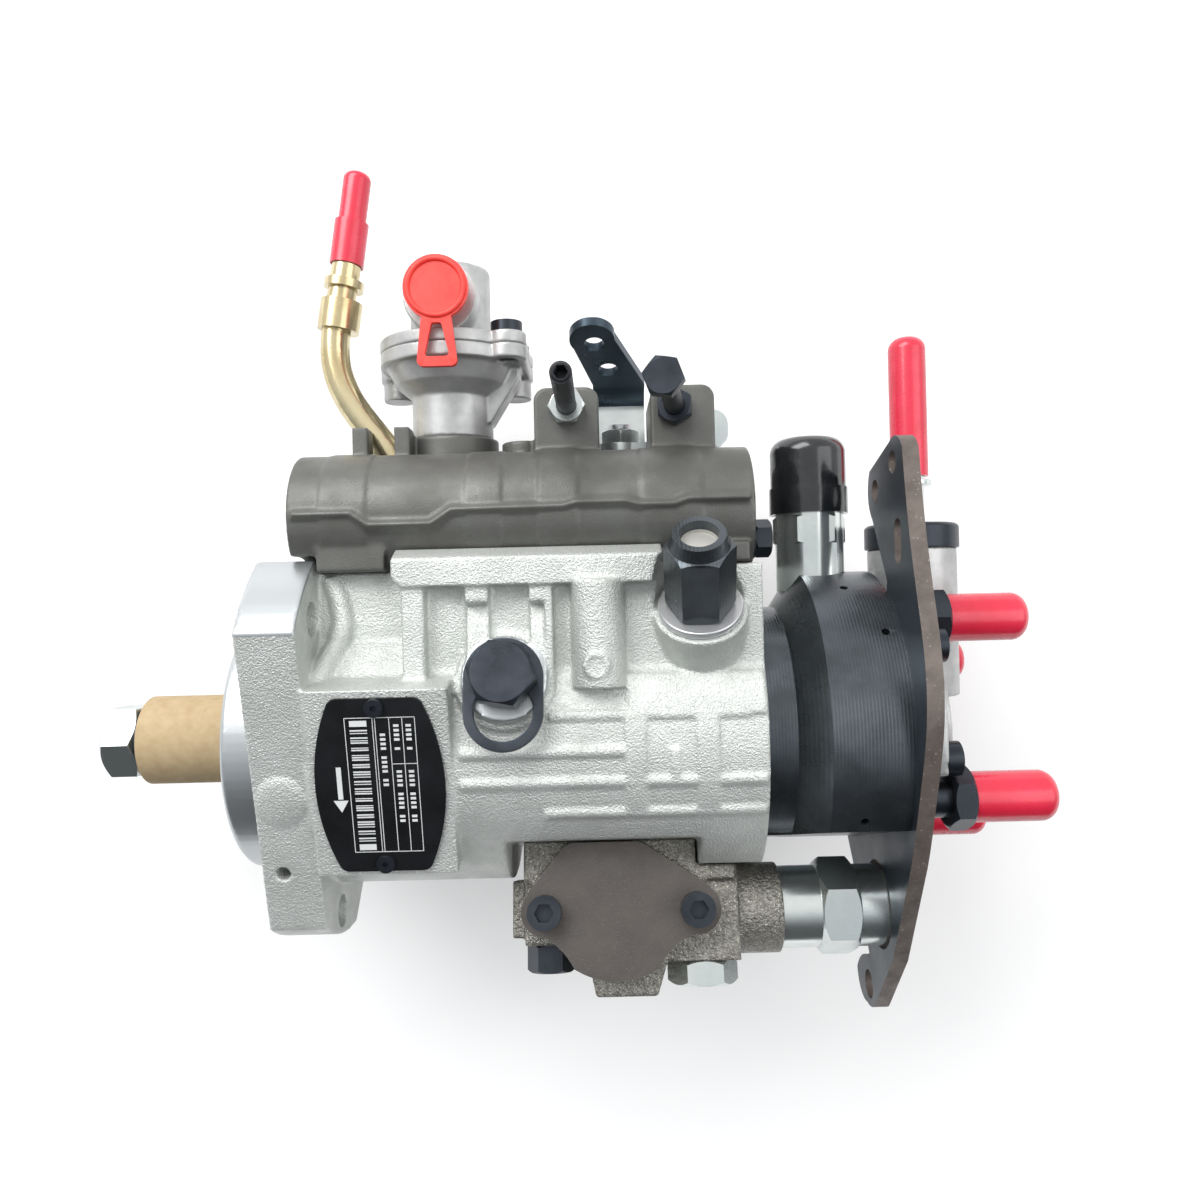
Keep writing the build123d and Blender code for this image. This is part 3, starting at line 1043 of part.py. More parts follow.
def boost_lower_housing():
    body = turned_y([(BOOST_COLLAR_Y, 0), (BOOST_COLLAR_Y, BOOST_NECK_R), (BOOST_BOWL_Y - 1, BOOST_NECK_R),
                     (BOOST_BOWL_Y + 3, BOOST_BOWL_R - 3), (BOOST_FLANGE_Y0 + 0.5, BOOST_BOWL_R),
                     (BOOST_FLANGE_Y0 + 0.5, 0)], BOOST_X, BOOST_Z)
    body += boost_flange(BOOST_FLANGE_Y0, BOOST_PART_Y, M6_R + THREAD_FIT)
    body += boost_web()
    for x, z in BOOST_EARS[1:]:
        boss = cyl_y(BOOST_BOSS_R, BOOST_BOSS_Y, BOOST_FLANGE_Y0 + 1, x, z)
        body += boss - cyl_y(M6_R + THREAD_FIT, BOOST_BOSS_Y + 3, BOOST_FLANGE_Y0 + 2, x, z)
    body -= cyl_y(DIAPHRAGM_R + AIR, BOOST_BOWL_Y + 3.5, BOOST_PART_Y + 1, BOOST_X, BOOST_Z)
    body -= cyl_y(9.0, BOOST_COLLAR_Y + 3, BOOST_PART_Y, BOOST_X, BOOST_Z)
    body -= cyl_y(BOOST_ROD_R + RUN_FIT, BOOST_COLLAR_Y - 1, BOOST_PART_Y, BOOST_X, BOOST_Z)
    return body


def boost_web():
    """Triangular web from the neck out to the right-hand ears."""
    y_top = BOOST_FLANGE_Y0 + 1
    face = make_face(Polyline([(BOOST_X + 9, y_top), (BOOST_X + 9, BOOST_COLLAR_Y + 5),
                               (BOOST_X + BOOST_NECK_R, BOOST_COLLAR_Y + 5),
                               (BOOST_EARS[0][0] + 3, BOOST_FLANGE_Y0 - 3), (BOOST_EARS[0][0] + 3, y_top)],
                              close=True))
    return extrude(plane_z(-BOOST_WEB_T / 2) * face, amount=BOOST_WEB_T)


def boost_upper_cover():
    body = boost_flange(BOOST_PART_Y, BOOST_FLANGE_Y1, M6_R + 0.3)
    body += cyl_y(BOOST_DOME_R, BOOST_FLANGE_Y1 - 1, BOOST_TOP_Y, BOOST_X, BOOST_Z)
    body += cyl_z(BOOST_DOME_R - 1.5, BOOST_Z, BOOST_PORT_Z, BOOST_PORT_X, BOOST_PORT_Y)
    body += cyl_y(BOOST_DOME_R + 3, BOOST_FLANGE_Y1 - 1, BOOST_FLANGE_Y1 + 1.4, BOOST_X, BOOST_Z)
    body -= cyl_y(DIAPHRAGM_R + AIR, BOOST_PART_Y - 1, BOOST_PART_Y + 3, BOOST_X, BOOST_Z)
    body -= cyl_y(BOOST_DOME_R - 4, BOOST_PART_Y - 1, BOOST_TOP_Y - 4, BOOST_X, BOOST_Z)
    return body - cyl_z(BOOST_PORT_R - 3, BOOST_Z, BOOST_PORT_Z + 1, BOOST_PORT_X, BOOST_PORT_Y)


def boost_diaphragm():
    """Diaphragm with its rod; rest is at the bottom of its stroke."""
    y0 = BOOST_BOWL_Y + 3.5 + SEAT_GAP + BOOST_STROKE
    disc = cyl_y(DIAPHRAGM_R, y0, y0 + 2.4, BOOST_X, BOOST_Z)
    return disc + cyl_y(BOOST_ROD_R, COVER_TOP_Y - COVER_WALL - 12, y0 + 4, BOOST_X, BOOST_Z)


def boost_spring():
    y0 = BOOST_COLLAR_Y + 3 + 0.1
    length = BOOST_BOWL_Y + 3.5 + SEAT_GAP + BOOST_STROKE - y0 - 0.1
    return spring(plane_y(y0, BOOST_X, BOOST_Z), 7.0, 0.9, 4.5, length)


def boost_port_plug():
    xc = BOOST_PORT_X
    z0 = PLUG_Z
    plug = cyl_z(PLUG_R, z0, z0 + PLUG_T, xc, BOOST_PORT_Y)
    plug += cyl_z(BOOST_PORT_R - 3 - THREAD_FIT, BOOST_PORT_Z - 10, z0 + 1, xc, BOOST_PORT_Y)
    plug -= cyl_z(BOOST_PORT_R - 5, BOOST_PORT_Z - 11, z0, xc, BOOST_PORT_Y)
    y_end = BOOST_PORT_Y - PLUG_TAB_LEN
    tab = Polyline([(xc - 4.2, BOOST_PORT_Y - 6), (xc + 4.2, BOOST_PORT_Y - 6), (xc + PLUG_TAB_W / 2, y_end),
                    (xc - PLUG_TAB_W / 2, y_end)], close=True)
    slot = Polyline([(xc - 1.5, BOOST_PORT_Y - 10.8), (xc + 1.5, BOOST_PORT_Y - 10.8), (xc + 3.9, y_end + 3),
                     (xc - 3.9, y_end + 3)], close=True)
    tab_face = make_face(tab)
    tab_face = fillet(tab_face.vertices().sort_by(Axis.Y)[:2], 1.8)
    slot_face = make_face(slot)
    slot_face = fillet(slot_face.vertices(), 1.0)
    strap = extrude(plane_z(z0) * tab_face, amount=PLUG_T)
    return plug + (strap - extrude(plane_z(z0 - 1) * slot_face, amount=PLUG_T + 2))


# ================================================================ return tube
def tube_path():
    points = [Vector(x, y, TUBE_Z) for x, y in TUBE_PATH]
    return Spline(points)


def tube_top_plane(lift=0.0):
    """Plane across the straight upper end of the tube."""
    path = tube_path()
    return Plane(origin=path @ 1, z_dir=path % 1).offset(lift)


def tube_ring(below, height, outer_r):
    return extrude(tube_top_plane(-below) * Circle(outer_r), amount=height)


def return_tube():
    """Bent tube with two swaged rings and a thin nose: the outer shape, then one bore right through."""
    path = tube_path()
    start = Plane(origin=path @ 0, z_dir=path % 0)
    top = tube_top_plane()
    tube = sweep(start * Circle(TUBE_R), path=path)
    tube += extrude(top * Circle(TUBE_R), amount=TUBE_CAP_SLEEVE_LEN - 2)
    tube += extrude(top * Circle(TUBE_NOSE_R), amount=TUBE_NOSE_LEN + 4)
    tube += tube_ring(7.8, 2.6, TUBE_R + 1.6) + tube_ring(21.5, 9.5, TUBE_R + 2.0)
    tube -= extrude(top.offset(-6) * Circle(TUBE_NOSE_R - TUBE_NOSE_WALL), amount=TUBE_NOSE_LEN + 12)
    return tube - sweep(start * Circle(TUBE_BORE_R), path=path)


def return_tube_cap():
    start = tube_top_plane()
    cap = extrude(start * Circle(TUBE_CAP_R), amount=TUBE_CAP_SLEEVE_LEN)
    nose = extrude(start.offset(TUBE_CAP_SLEEVE_LEN - 1) * Circle(TUBE_CAP_NOSE_R),
                   amount=TUBE_CAP_LEN - TUBE_CAP_SLEEVE_LEN + 1)
    cap += fillet(nose.edges().group_by(Axis.Y)[-1], 2.5)
    cap -= extrude(start.offset(-1) * Circle(TUBE_R + SEAT_GAP), amount=TUBE_CAP_SLEEVE_LEN - 0.6)
    return cap - extrude(start * Circle(TUBE_NOSE_R + 0.1), amount=TUBE_CAP_LEN - 3)


# ================================================================ stop solenoid
def stop_solenoid():
    x = SOLENOID_X
    body = cyl_y(SOLENOID_THREAD_R, SOLENOID_SEAT_Y - SOLENOID_THREAD_LEN, SOLENOID_SEAT_Y + 1, x, 0)
    body += cyl_y(SOLENOID_BODY_R, SOLENOID_SEAT_Y, SOLENOID_TOP_Y, x, 0)
    body += chamfered_hex(plane_y(SOLENOID_HEX_Y[0], x, 0), SOLENOID_HEX_AF,
                          SOLENOID_HEX_Y[1] - SOLENOID_HEX_Y[0], turn=30)
    bore_top = SOLENOID_SEAT_Y + 10
    return body - cyl_y(STOP_PLUNGER_R + RUN_FIT, SOLENOID_SEAT_Y - SOLENOID_THREAD_LEN - 1, bore_top, x, 0)


def stop_plunger():
    top = SOLENOID_SEAT_Y + 10 - STOP_STROKE - SEAT_GAP
    return cyl_y(STOP_PLUNGER_R, SOLENOID_SEAT_Y - SOLENOID_THREAD_LEN - 2, top, SOLENOID_X, 0)


def solenoid_cap():
    y0 = SOLENOID_HEX_Y[1] + 0.1
    cap = cyl_y(SOLENOID_CAP_R, y0, SOLENOID_CAP_TOP_Y, SOLENOID_X, 0)
    cap = fillet(cap.edges().group_by(Axis.Y)[-1], 5.0)
    cap += cyl_y(SOLENOID_CAP_R + SOLENOID_BEAD, y0, y0 + SOLENOID_BEAD_H, SOLENOID_X, 0)
    return cap - cyl_y(SOLENOID_BODY_R + SEAT_GAP, y0 - 1, SOLENOID_TOP_Y + SEAT_GAP, SOLENOID_X, 0)


# ================================================================ advance unit
def advance_outline():
    """Diamond cover: two screw lobes, a flat top edge, and a broad foot joined to the lobes by hollow curves."""
    top = UNDERSIDE_Y - 0.7
    left, right = ADVANCE_SCREW_X
    foot_w, foot_drop = ADVANCE_FOOT
    waist_w, waist_drop = ADVANCE_WAIST
    lobe_foot_y = ADVANCE_SCREW_Y - ADVANCE_LOBE_R
    foot_y = ADVANCE_Y - foot_drop
    waist_y = ADVANCE_Y - waist_drop
    edge = [Line((left - 5.4, ADVANCE_SCREW_Y + 5.4), (ADVANCE_COVER_TOP_X[0], top)),
            Line((ADVANCE_COVER_TOP_X[0], top), (ADVANCE_COVER_TOP_X[1], top)),
            Line((ADVANCE_COVER_TOP_X[1], top), (right + 4.4, ADVANCE_SCREW_Y + 6.2)),
            Line((right + 4.4, ADVANCE_SCREW_Y + 6.2), (right, lobe_foot_y)),
            ThreePointArc((right, lobe_foot_y), (ADVANCE_X + waist_w, waist_y), (ADVANCE_X + foot_w, foot_y)),
            ThreePointArc((ADVANCE_X + foot_w, foot_y), (ADVANCE_X, ADVANCE_Y - ADVANCE_FOOT_R),
                          (ADVANCE_X - foot_w, foot_y)),
            ThreePointArc((ADVANCE_X - foot_w, foot_y), (ADVANCE_X - waist_w, waist_y), (left, lobe_foot_y)),
            Line((left, lobe_foot_y), (left - 5.4, ADVANCE_SCREW_Y + 5.4))]
    lobes = [Pos(x, ADVANCE_SCREW_Y) * Circle(ADVANCE_LOBE_R) for x in ADVANCE_SCREW_X]
    face = make_face(Curve() + edge)
    face = fillet(face.vertices().sort_by(Axis.Y)[-2:], ADVANCE_CORNER_R)
    return face + lobes


def advance_cover():
    cover = prism(plane_z(ADVANCE_Z[1]), advance_outline(), ADVANCE_COVER_T)
    for x in ADVANCE_SCREW_X:
        cover -= cyl_z(M6_R + 0.3, ADVANCE_Z[1] - 1, ADVANCE_Z[1] + 10, x, ADVANCE_SCREW_Y)
    return turned(cover)


def advance_housing():
    """Casting under the pump: piston bore, flanged front, boss for the side solenoid, and two bolted feet."""
    z0, z1 = ADVANCE_Z
    body = prism(plane_z(z1 - 9), advance_outline(), 9)
    body += cyl_z(ADVANCE_WALL_R, z0 + 6, z1, ADVANCE_X, ADVANCE_Y)
    body += cyl_z(ADVANCE_WALL_R - 3, z0, z1, ADVANCE_X, ADVANCE_Y)
    body += block(*ADVANCE_TOP_X, -48, UNDERSIDE_Y, -26, 13)
    body += block(ADVANCE_TOP_X[0], ADVANCE_NUT_X + 12, ADVANCE_NUT_Y[1], UNDERSIDE_Y, -14, 8)
    body += block(ADVANCE_LUG_X0, ADVANCE_NUT_X, ADVANCE_NUT_Y[1] + 2, -47.4, -14, 4)
    body += block(LOCATING_X - 12, LOCATING_X + 11, LOCATING_HEX_Y[1], UNDERSIDE_Y - 1, -12, 10)
    foot = Polyline([(ADVANCE_X - 11, -60), (ADVANCE_X + 19, -60), (ADVANCE_X + 12, -81.2), (ADVANCE_X - 6.5, -81.2)],
                    close=True)
    body += extrude(plane_z(-8) * make_face(foot), amount=18)
    body += cyl_x(COLD_BOSS_R, ADVANCE_X + 12, COLD_BOSS_X1, COLD_Y, COLD_Z)
    body &= block(60, 160, -90, UNDERSIDE_Y, z0 - 1, z1)
    body -= cyl_z(PISTON_R + RUN_FIT, z0 + 4, z1 + 1, ADVANCE_X, ADVANCE_Y)
    body -= cyl_x(COLD_R - 3, COLD_BOSS_X1 - 22, COLD_BOSS_X1 + 1, COLD_Y, COLD_Z)
    pin_r = CAM_PIN_R + AIR
    body -= block(ADVANCE_X - pin_r, ADVANCE_X + pin_r, ADVANCE_Y, UNDERSIDE_Y + 1, -16, pin_r)
    for x in ADVANCE_SCREW_X:
        body -= cyl_z(M6_R + THREAD_FIT, z1 - ADVANCE_SCREW_LEN, z1 + 1, x, ADVANCE_SCREW_Y)
    body -= cyl_y(M6_R + 0.3, -95, UNDERSIDE_Y + 1, ADVANCE_NUT_X, ADVANCE_STUD_Z)
    body -= cyl_y(M6_R + 0.3, -95, UNDERSIDE_Y + 1, LOCATING_X, 0)
    body -= block(UNDERSIDE_X[1] - 0.6, 160, END_RING_FLAT_Y - 0.3, 0, -80, 80)
    body -= cyl_x(DRUM_R + 0.5, HOUSING_LEN, COLD_BOSS_X1 + 5) & block(0, 400, -HEAD_FACET - 0.3, 0, -80, 80)
    return turned(body)


def advance_piston():
    piston = cyl_z(PISTON_R, *PISTON_Z, ADVANCE_X, ADVANCE_Y)
    piston -= cyl_z(PISTON_R - 4, PISTON_Z[0] - 1, PISTON_Z[0] + 9, ADVANCE_X, ADVANCE_Y)
    return turned(piston - cyl_y(CAM_PIN_R + 0.2, ADVANCE_Y - 6, ADVANCE_Y + PISTON_R + 1, ADVANCE_X, 0))


def advance_spring():
    z0 = ADVANCE_Z[0] + 4.1
    return turned(spring(plane_z(z0, ADVANCE_X, ADVANCE_Y), 6.0, 1.0, 8, PISTON_Z[0] + 9 - 0.1 - z0))


def advance_nut():
    """Stud nut under the advance unit's left foot."""
    y0, y1 = ADVANCE_NUT_Y
    nut = chamfered_hex(plane_y(y0, ADVANCE_NUT_X, ADVANCE_STUD_Z), ADVANCE_NUT_AF, y1 - y0, turn=30)
    return turned(nut + cyl_y(M6_R, y1 - 2, ADVANCE_STUD_TOP - 0.5, ADVANCE_NUT_X, ADVANCE_STUD_Z))


def head_locating_bolt():
    y0, y1 = LOCATING_HEX_Y
    head = chamfered_hex(plane_y(y0, LOCATING_X, 0), LOCATING_AF, y1 - y0, turn=30)
    return turned(head + cyl_y(M6_R, y1 - 1, LOCATING_TIP_Y, LOCATING_X, 0))


def cold_advance_solenoid():
    body = cyl_x(COLD_R, COLD_BOSS_X1, COLD_END_X, COLD_Y, COLD_Z)
    body = chamfer(body.edges().group_by(Axis.X)[-1], 0.8)
    body += chamfered_hex(plane_x(COLD_HEX_X[0], COLD_Y, COLD_Z), COLD_HEX_AF, COLD_HEX_X[1] - COLD_HEX_X[0],
                          turn=10)
    return turned(body + cyl_x(COLD_R - 3 - THREAD_FIT, COLD_BOSS_X1 - 18, COLD_BOSS_X1 + 1, COLD_Y, COLD_Z))


# ================================================================ locking screw and hex sleeve
def shaft_locking_screw():
    seat = LOCK_FACE_Z + SPACER_T + 2 * SEAT_GAP
    head = chamfered_hex(plane_z(seat, LOCK_X, LOCK_Y), LOCK_HEAD_AF, LOCK_HEAD_H, turn=-10)
    return turned(head + cyl_z(LOCK_SHANK_R, CAVITY_R + 1.5, seat + 1, LOCK_X, LOCK_Y))


def locking_spacer():
    """Keyhole spacer: the screw stands in its narrow end, and it slides up to bring the wide hole round it."""
    z0 = LOCK_FACE_Z + SEAT_GAP
    low_y = LOCK_Y - SPACER_TRAVEL
    shape = Pos(LOCK_X, low_y) * Circle(SPACER_R)
    shape += Pos(LOCK_X, LOCK_Y) * Circle(SPACER_R)
    shape += Pos(LOCK_X, (low_y + LOCK_Y) / 2) * Rectangle(2 * SPACER_R, SPACER_TRAVEL)
    shape -= Pos(LOCK_X, low_y) * Circle(SPACER_HOLE_R)
    shape -= Pos(LOCK_X, LOCK_Y) * Circle(LOCK_SHANK_R + 0.3)
    shape -= Pos(LOCK_X, (low_y + LOCK_Y) / 2) * Rectangle(2 * LOCK_SHANK_R + 0.6, SPACER_TRAVEL)
    return turned(extrude(plane_z(z0) * shape, amount=SPACER_T))


def tamper_sleeve():
    """Hexagonal sleeve with a coned nose and a cup in its end."""
    base = sleeve_plane(CRUSH_T)
    sleeve = chamfered_hex(base, SLEEVE_AF, SLEEVE_HEX_LEN)
    wide, narrow = SLEEVE_NOSE_R
    nose = Pos(0, 0, SLEEVE_HEX_LEN + SLEEVE_NOSE_LEN / 2 - 0.5) * Cone(wide, narrow, SLEEVE_NOSE_LEN + 1)
    sleeve += base.location * nose
    sleeve -= extrude(sleeve_cup_plane() * Circle(SLEEVE_CUP_R), amount=SLEEVE_CUP_DEPTH + 5)
    return sleeve + extrude(base.offset(-CRUSH_T - 10) * Circle(SLEEVE_CUP_R), amount=10 + CRUSH_T + 1)


def sleeve_cup_plane():
    return sleeve_plane(CRUSH_T + SLEEVE_HEX_LEN + SLEEVE_NOSE_LEN - SLEEVE_CUP_DEPTH)


def tamper_plug():
    """Shallow pressed cup that seals the sleeve's end."""
    cup = extrude(sleeve_cup_plane() * Circle(SLEEVE_CUP_R - 0.02), amount=PLUG_CUP_H)
    return cup - extrude(sleeve_cup_plane().offset(PLUG_CUP_H - 0.6) * Circle(SLEEVE_CUP_R - 0.6), amount=2)


def tamper_washer():
    ring = extrude(sleeve_plane(0) * Circle(CRUSH_R), amount=CRUSH_T)
    return ring - extrude(sleeve_plane(-1) * Circle(SLEEVE_CUP_R + 0.3), amount=CRUSH_T + 2)


NODES = {
    "pump_housing": pump_housing, "nameplate": nameplate, "nameplate_rivets": nameplate_rivets,
    "drive_shaft": drive_shaft, "shaft_nut": shaft_nut, "shaft_washers": shaft_washers,
    "shaft_guard_tube": shaft_guard_tube, "front_oil_seal": front_oil_seal,
    "drive_shaft_bush": drive_shaft_bush, "governor_weights": governor_weights,
    "governor_sleeve": governor_sleeve, "governor_arm": governor_arm, "metering_valve": metering_valve,
    "cam_ring": cam_ring, "cam_rollers": cam_rollers, "roller_shoes": roller_shoes,
    "pump_plungers": pump_plungers, "distributor_rotor": distributor_rotor,
    "hydraulic_head": hydraulic_head, "outlet_unions": outlet_unions, "outlet_caps": outlet_caps,
    "delivery_valves": delivery_valves, "support_plate": support_plate, "cap_screws": cap_screws,
    "end_plate": end_plate, "inlet_ring": inlet_ring, "inlet_stub": inlet_stub, "inlet_cap": inlet_cap,
    "transfer_pump_rotor": transfer_pump_rotor, "transfer_pump_blades": transfer_pump_blades,
    "control_cover": control_cover_with_pivots, "cover_end_plug": cover_end_plug,
    "idle_stop_screw": idle_stop_screw, "max_stop_screw": max_stop_screw,
    "stop_screw_locknuts": stop_screw_locknuts, "throttle_shaft": throttle_shaft,
    "throttle_lever": throttle_lever, "throttle_nut": throttle_nut,
    "boost_lower_housing": boost_lower_housing, "boost_upper_cover": boost_upper_cover,
    "boost_diaphragm": boost_diaphragm, "boost_spring": boost_spring, "boost_port_plug": boost_port_plug,
    "return_tube": return_tube, "return_tube_cap": return_tube_cap, "stop_solenoid": stop_solenoid,
    "stop_plunger": stop_plunger, "solenoid_cap": solenoid_cap, "advance_housing": advance_housing,
    "advance_cover": advance_cover, "advance_piston": advance_piston, "advance_spring": advance_spring,
    "advance_nut": advance_nut, "head_locating_bolt": head_locating_bolt,
    "cold_advance_solenoid": cold_advance_solenoid, "shaft_locking_screw": shaft_locking_screw,
    "locking_spacer": locking_spacer, "tamper_sleeve": tamper_sleeve, "tamper_plug": tamper_plug,
    "tamper_washer": tamper_washer,
}

os.makedirs("parts", exist_ok=True)
for name, make in NODES.items():
    export_step(make(), f"parts/{name}.step")
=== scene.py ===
import json
import math

import bpy
from mathutils import Matrix, Vector

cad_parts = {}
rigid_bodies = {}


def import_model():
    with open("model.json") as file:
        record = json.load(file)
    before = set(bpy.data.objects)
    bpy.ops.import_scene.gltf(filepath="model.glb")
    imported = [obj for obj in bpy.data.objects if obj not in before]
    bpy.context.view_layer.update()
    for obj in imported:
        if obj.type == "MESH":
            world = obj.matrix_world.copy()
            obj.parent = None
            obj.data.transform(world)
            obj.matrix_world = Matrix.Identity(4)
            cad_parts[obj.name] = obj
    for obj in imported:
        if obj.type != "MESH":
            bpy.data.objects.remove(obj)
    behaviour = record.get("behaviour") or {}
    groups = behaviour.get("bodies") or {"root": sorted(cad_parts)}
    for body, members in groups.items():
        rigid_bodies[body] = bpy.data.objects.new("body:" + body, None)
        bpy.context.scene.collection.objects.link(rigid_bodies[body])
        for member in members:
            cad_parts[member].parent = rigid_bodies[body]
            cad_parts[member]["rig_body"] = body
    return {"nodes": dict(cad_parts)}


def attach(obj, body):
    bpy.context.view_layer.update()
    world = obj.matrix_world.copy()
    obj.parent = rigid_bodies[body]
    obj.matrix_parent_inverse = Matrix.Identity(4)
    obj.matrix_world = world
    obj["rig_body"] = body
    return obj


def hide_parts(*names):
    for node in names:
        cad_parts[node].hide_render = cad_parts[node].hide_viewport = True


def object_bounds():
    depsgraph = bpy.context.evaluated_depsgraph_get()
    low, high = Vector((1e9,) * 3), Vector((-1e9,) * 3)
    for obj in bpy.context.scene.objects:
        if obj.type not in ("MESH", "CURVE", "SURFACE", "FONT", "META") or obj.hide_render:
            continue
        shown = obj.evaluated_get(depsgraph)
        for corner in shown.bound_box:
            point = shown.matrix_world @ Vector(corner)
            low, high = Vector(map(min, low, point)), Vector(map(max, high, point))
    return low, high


MM = 0.001                                # metres in a millimetre
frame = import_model()
cad_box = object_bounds()
NODES = frame["nodes"]
TILT = math.radians(-15)                  # the advance unit and the locking screw stand square to this turn
TURNED = Matrix.Rotation(TILT, 4, "X")
FRONT = (TURNED @ Vector((0, 0, 1, 0))).xyz
LOCK_AXIS = (72.5, 8.4)                   # where the locking screw's axis stands in the turned frame, mm
PLATE_CENTRE = Vector((37.2, -8.0, 46.5))  # middle of the nameplate's back, mm
PLATE_LEAN = Matrix.Rotation(math.radians(13), 4, "X")
BEVEL_ANGLE = math.radians(28)            # edges sharper than this are broken
SMOOTH_ANGLE = math.radians(32)           # faces flatter than this shade as one


# ================================================================ modelling helpers
def only(obj):
    """Make one object the only selected and active one."""
    bpy.ops.object.select_all(action="DESELECT")
    obj.select_set(True)
    bpy.context.view_layer.objects.active = obj


def apply_modifier(obj, kind, **settings):
    """Run one modifier and make its result the mesh."""
    only(obj)
    modifier = obj.modifiers.new(kind.lower(), kind)
    for key, value in settings.items():
        setattr(modifier, key, value)
    bpy.ops.object.modifier_apply(modifier=modifier.name)


def copy_of(node, name):
    """Editable copy of a solid, with its loose triangles merged."""
    obj = bpy.data.objects.new(name, NODES[node].data.copy())
    bpy.context.scene.collection.objects.link(obj)
    only(obj)
    obj.hide_render = False
    obj.hide_viewport = False
    if obj.data.has_custom_normals:
        bpy.ops.mesh.customdata_custom_splitnormals_clear()
    bpy.ops.object.mode_set(mode="EDIT")
    bpy.ops.mesh.select_all(action="SELECT")
    bpy.ops.mesh.remove_doubles(threshold=0.002 * MM)
    bpy.ops.mesh.tris_convert_to_quads()
    bpy.ops.object.mode_set(mode="OBJECT")
    return obj


def settle(obj):
    """Put an object's place into its mesh."""
    only(obj)
    bpy.ops.object.transform_apply(location=True, rotation=True, scale=True)


def join(main, others):
    """Make the others part of the first object."""
    only(main)
    for other in others:
        other.select_set(True)
    bpy.ops.object.join()
    return main


def rod(p0, p1, radius, sides=48):
    """Round bar from one point to another, in millimetres."""
    a, b = Vector(p0) * MM, Vector(p1) * MM
    bpy.ops.object.select_all(action="DESELECT")
    bpy.ops.mesh.primitive_cone_add(vertices=sides, radius1=radius * MM, radius2=radius * MM,
                                    depth=(b - a).length, location=(a + b) / 2,
                                    rotation=(b - a).to_track_quat("Z", "Y").to_euler())
    bar = bpy.context.active_object
    settle(bar)
    return bar


def box(low, high, matrix=None):
    """Block between two corners, in millimetres, turned by the matrix if one is given."""
    centre = [(a + b) / 2 * MM for a, b in zip(low, high)]
    bpy.ops.object.select_all(action="DESELECT")
    bpy.ops.mesh.primitive_cube_add(size=1, location=centre)
    block = bpy.context.active_object
    block.scale = [(b - a) * MM for a, b in zip(low, high)]
    settle(block)
    if matrix is not None:
        block.data.transform(matrix)
    return block


def ball(centre, size):
    """Rounded lump with its three radii, in millimetres."""
    bpy.ops.object.select_all(action="DESELECT")
    bpy.ops.mesh.primitive_uv_sphere_add(segments=32, ring_count=20, radius=1,
                                         location=Vector(centre) * MM)
    lump = bpy.context.active_object
    lump.scale = [s * MM for s in size]
    settle(lump)
    return lump


def sector(x0, x1, radius, y_low, y_high):
    """Upper part of a disc about the shaft line, kept between two places along Y, in millimetres."""
    piece = rod((x0, 0, 0), (x1, 0, 0), radius, sides=256)
    z_low = radius * 0.6
    sides = (((0, y_low, 0), (0, -1, 0)), ((0, y_high, 0), (0, 1, 0)), ((0, 0, z_low), (0, 0, -1)))
    for place, normal in sides:
        only(piece)
        bpy.ops.object.mode_set(mode="EDIT")
        bpy.ops.mesh.select_all(action="SELECT")
        bpy.ops.mesh.bisect(plane_co=Vector(place) * MM, plane_no=normal, use_fill=True, clear_outer=True)
        bpy.ops.object.mode_set(mode="OBJECT")
    return piece


def torus(centre, major, minor):
    """Ring that lies square to Z, in millimetres."""
    bpy.ops.object.select_all(action="DESELECT")
    bpy.ops.mesh.primitive_torus_add(major_radius=major * MM, minor_radius=minor * MM, major_segments=64,
                                     minor_segments=16, location=Vector(centre) * MM)
    ring = bpy.context.active_object
    settle(ring)
    return ring


def cut(obj, tool):
    """Take the tool's shape out of the object."""
    apply_modifier(obj, "BOOLEAN", operation="DIFFERENCE", object=tool, solver="EXACT")
    bpy.data.objects.remove(tool)


def seat(obj, node, material):
    """The finished piece stands for its solid: same body, its own material."""
    obj.data.materials.clear()
    obj.data.materials.append(material)
    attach(obj, NODES[node]["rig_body"])
    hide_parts(node)
    return obj


def casting(node, name, material, voxel, rounds, most_triangles, extras=(), holes=()):
    """Cast piece: the solid and its cast lumps fused, with every edge softened as a mould leaves it.

    The voxel is in millimetres, and the rounds are those of smoothing.
    """
    obj = copy_of(node, name)
    for hole in holes:
        cut(obj, hole)
    if extras:
        join(obj, extras)
    apply_modifier(obj, "REMESH", mode="VOXEL", voxel_size=voxel * MM, adaptivity=0.0)
    apply_modifier(obj, "SMOOTH", factor=0.5, iterations=rounds)
    triangles = len(obj.data.polygons) * 2
    if triangles > most_triangles:
        apply_modifier(obj, "DECIMATE", ratio=most_triangles / triangles)
    only(obj)
    bpy.ops.object.shade_smooth()
    return seat(obj, node, material)


def hardware(node, name, material, width, segments=2, extras=(), holes=()):
    """Machined or formed piece: the solid with its edges broken by a small even bevel, its width in mm."""
    obj = copy_of(node, name)
    if extras:
        join(obj, extras)
    for hole in holes:
        cut(obj, hole)
    apply_modifier(obj, "BEVEL", width=width * MM, segments=segments, limit_method="ANGLE",
                   angle_limit=BEVEL_ANGLE, use_clamp_overlap=True, harden_normals=False)
    only(obj)
    bpy.ops.object.shade_smooth_by_angle(angle=SMOOTH_ANGLE)
    apply_modifier(obj, "WEIGHTED_NORMAL", mode="FACE_AREA", weight=60, keep_sharp=True)
    return seat(obj, node, material)


# ================================================================ material helpers
def tone(red, green, blue):
    """Linear colour from the 0 to 255 values a painter would mix."""
    return tuple((c / 255 / 12.92 if c / 255 <= 0.04045 else ((c / 255 + 0.055) / 1.055) ** 2.4)
                 for c in (red, green, blue)) + (1.0,)


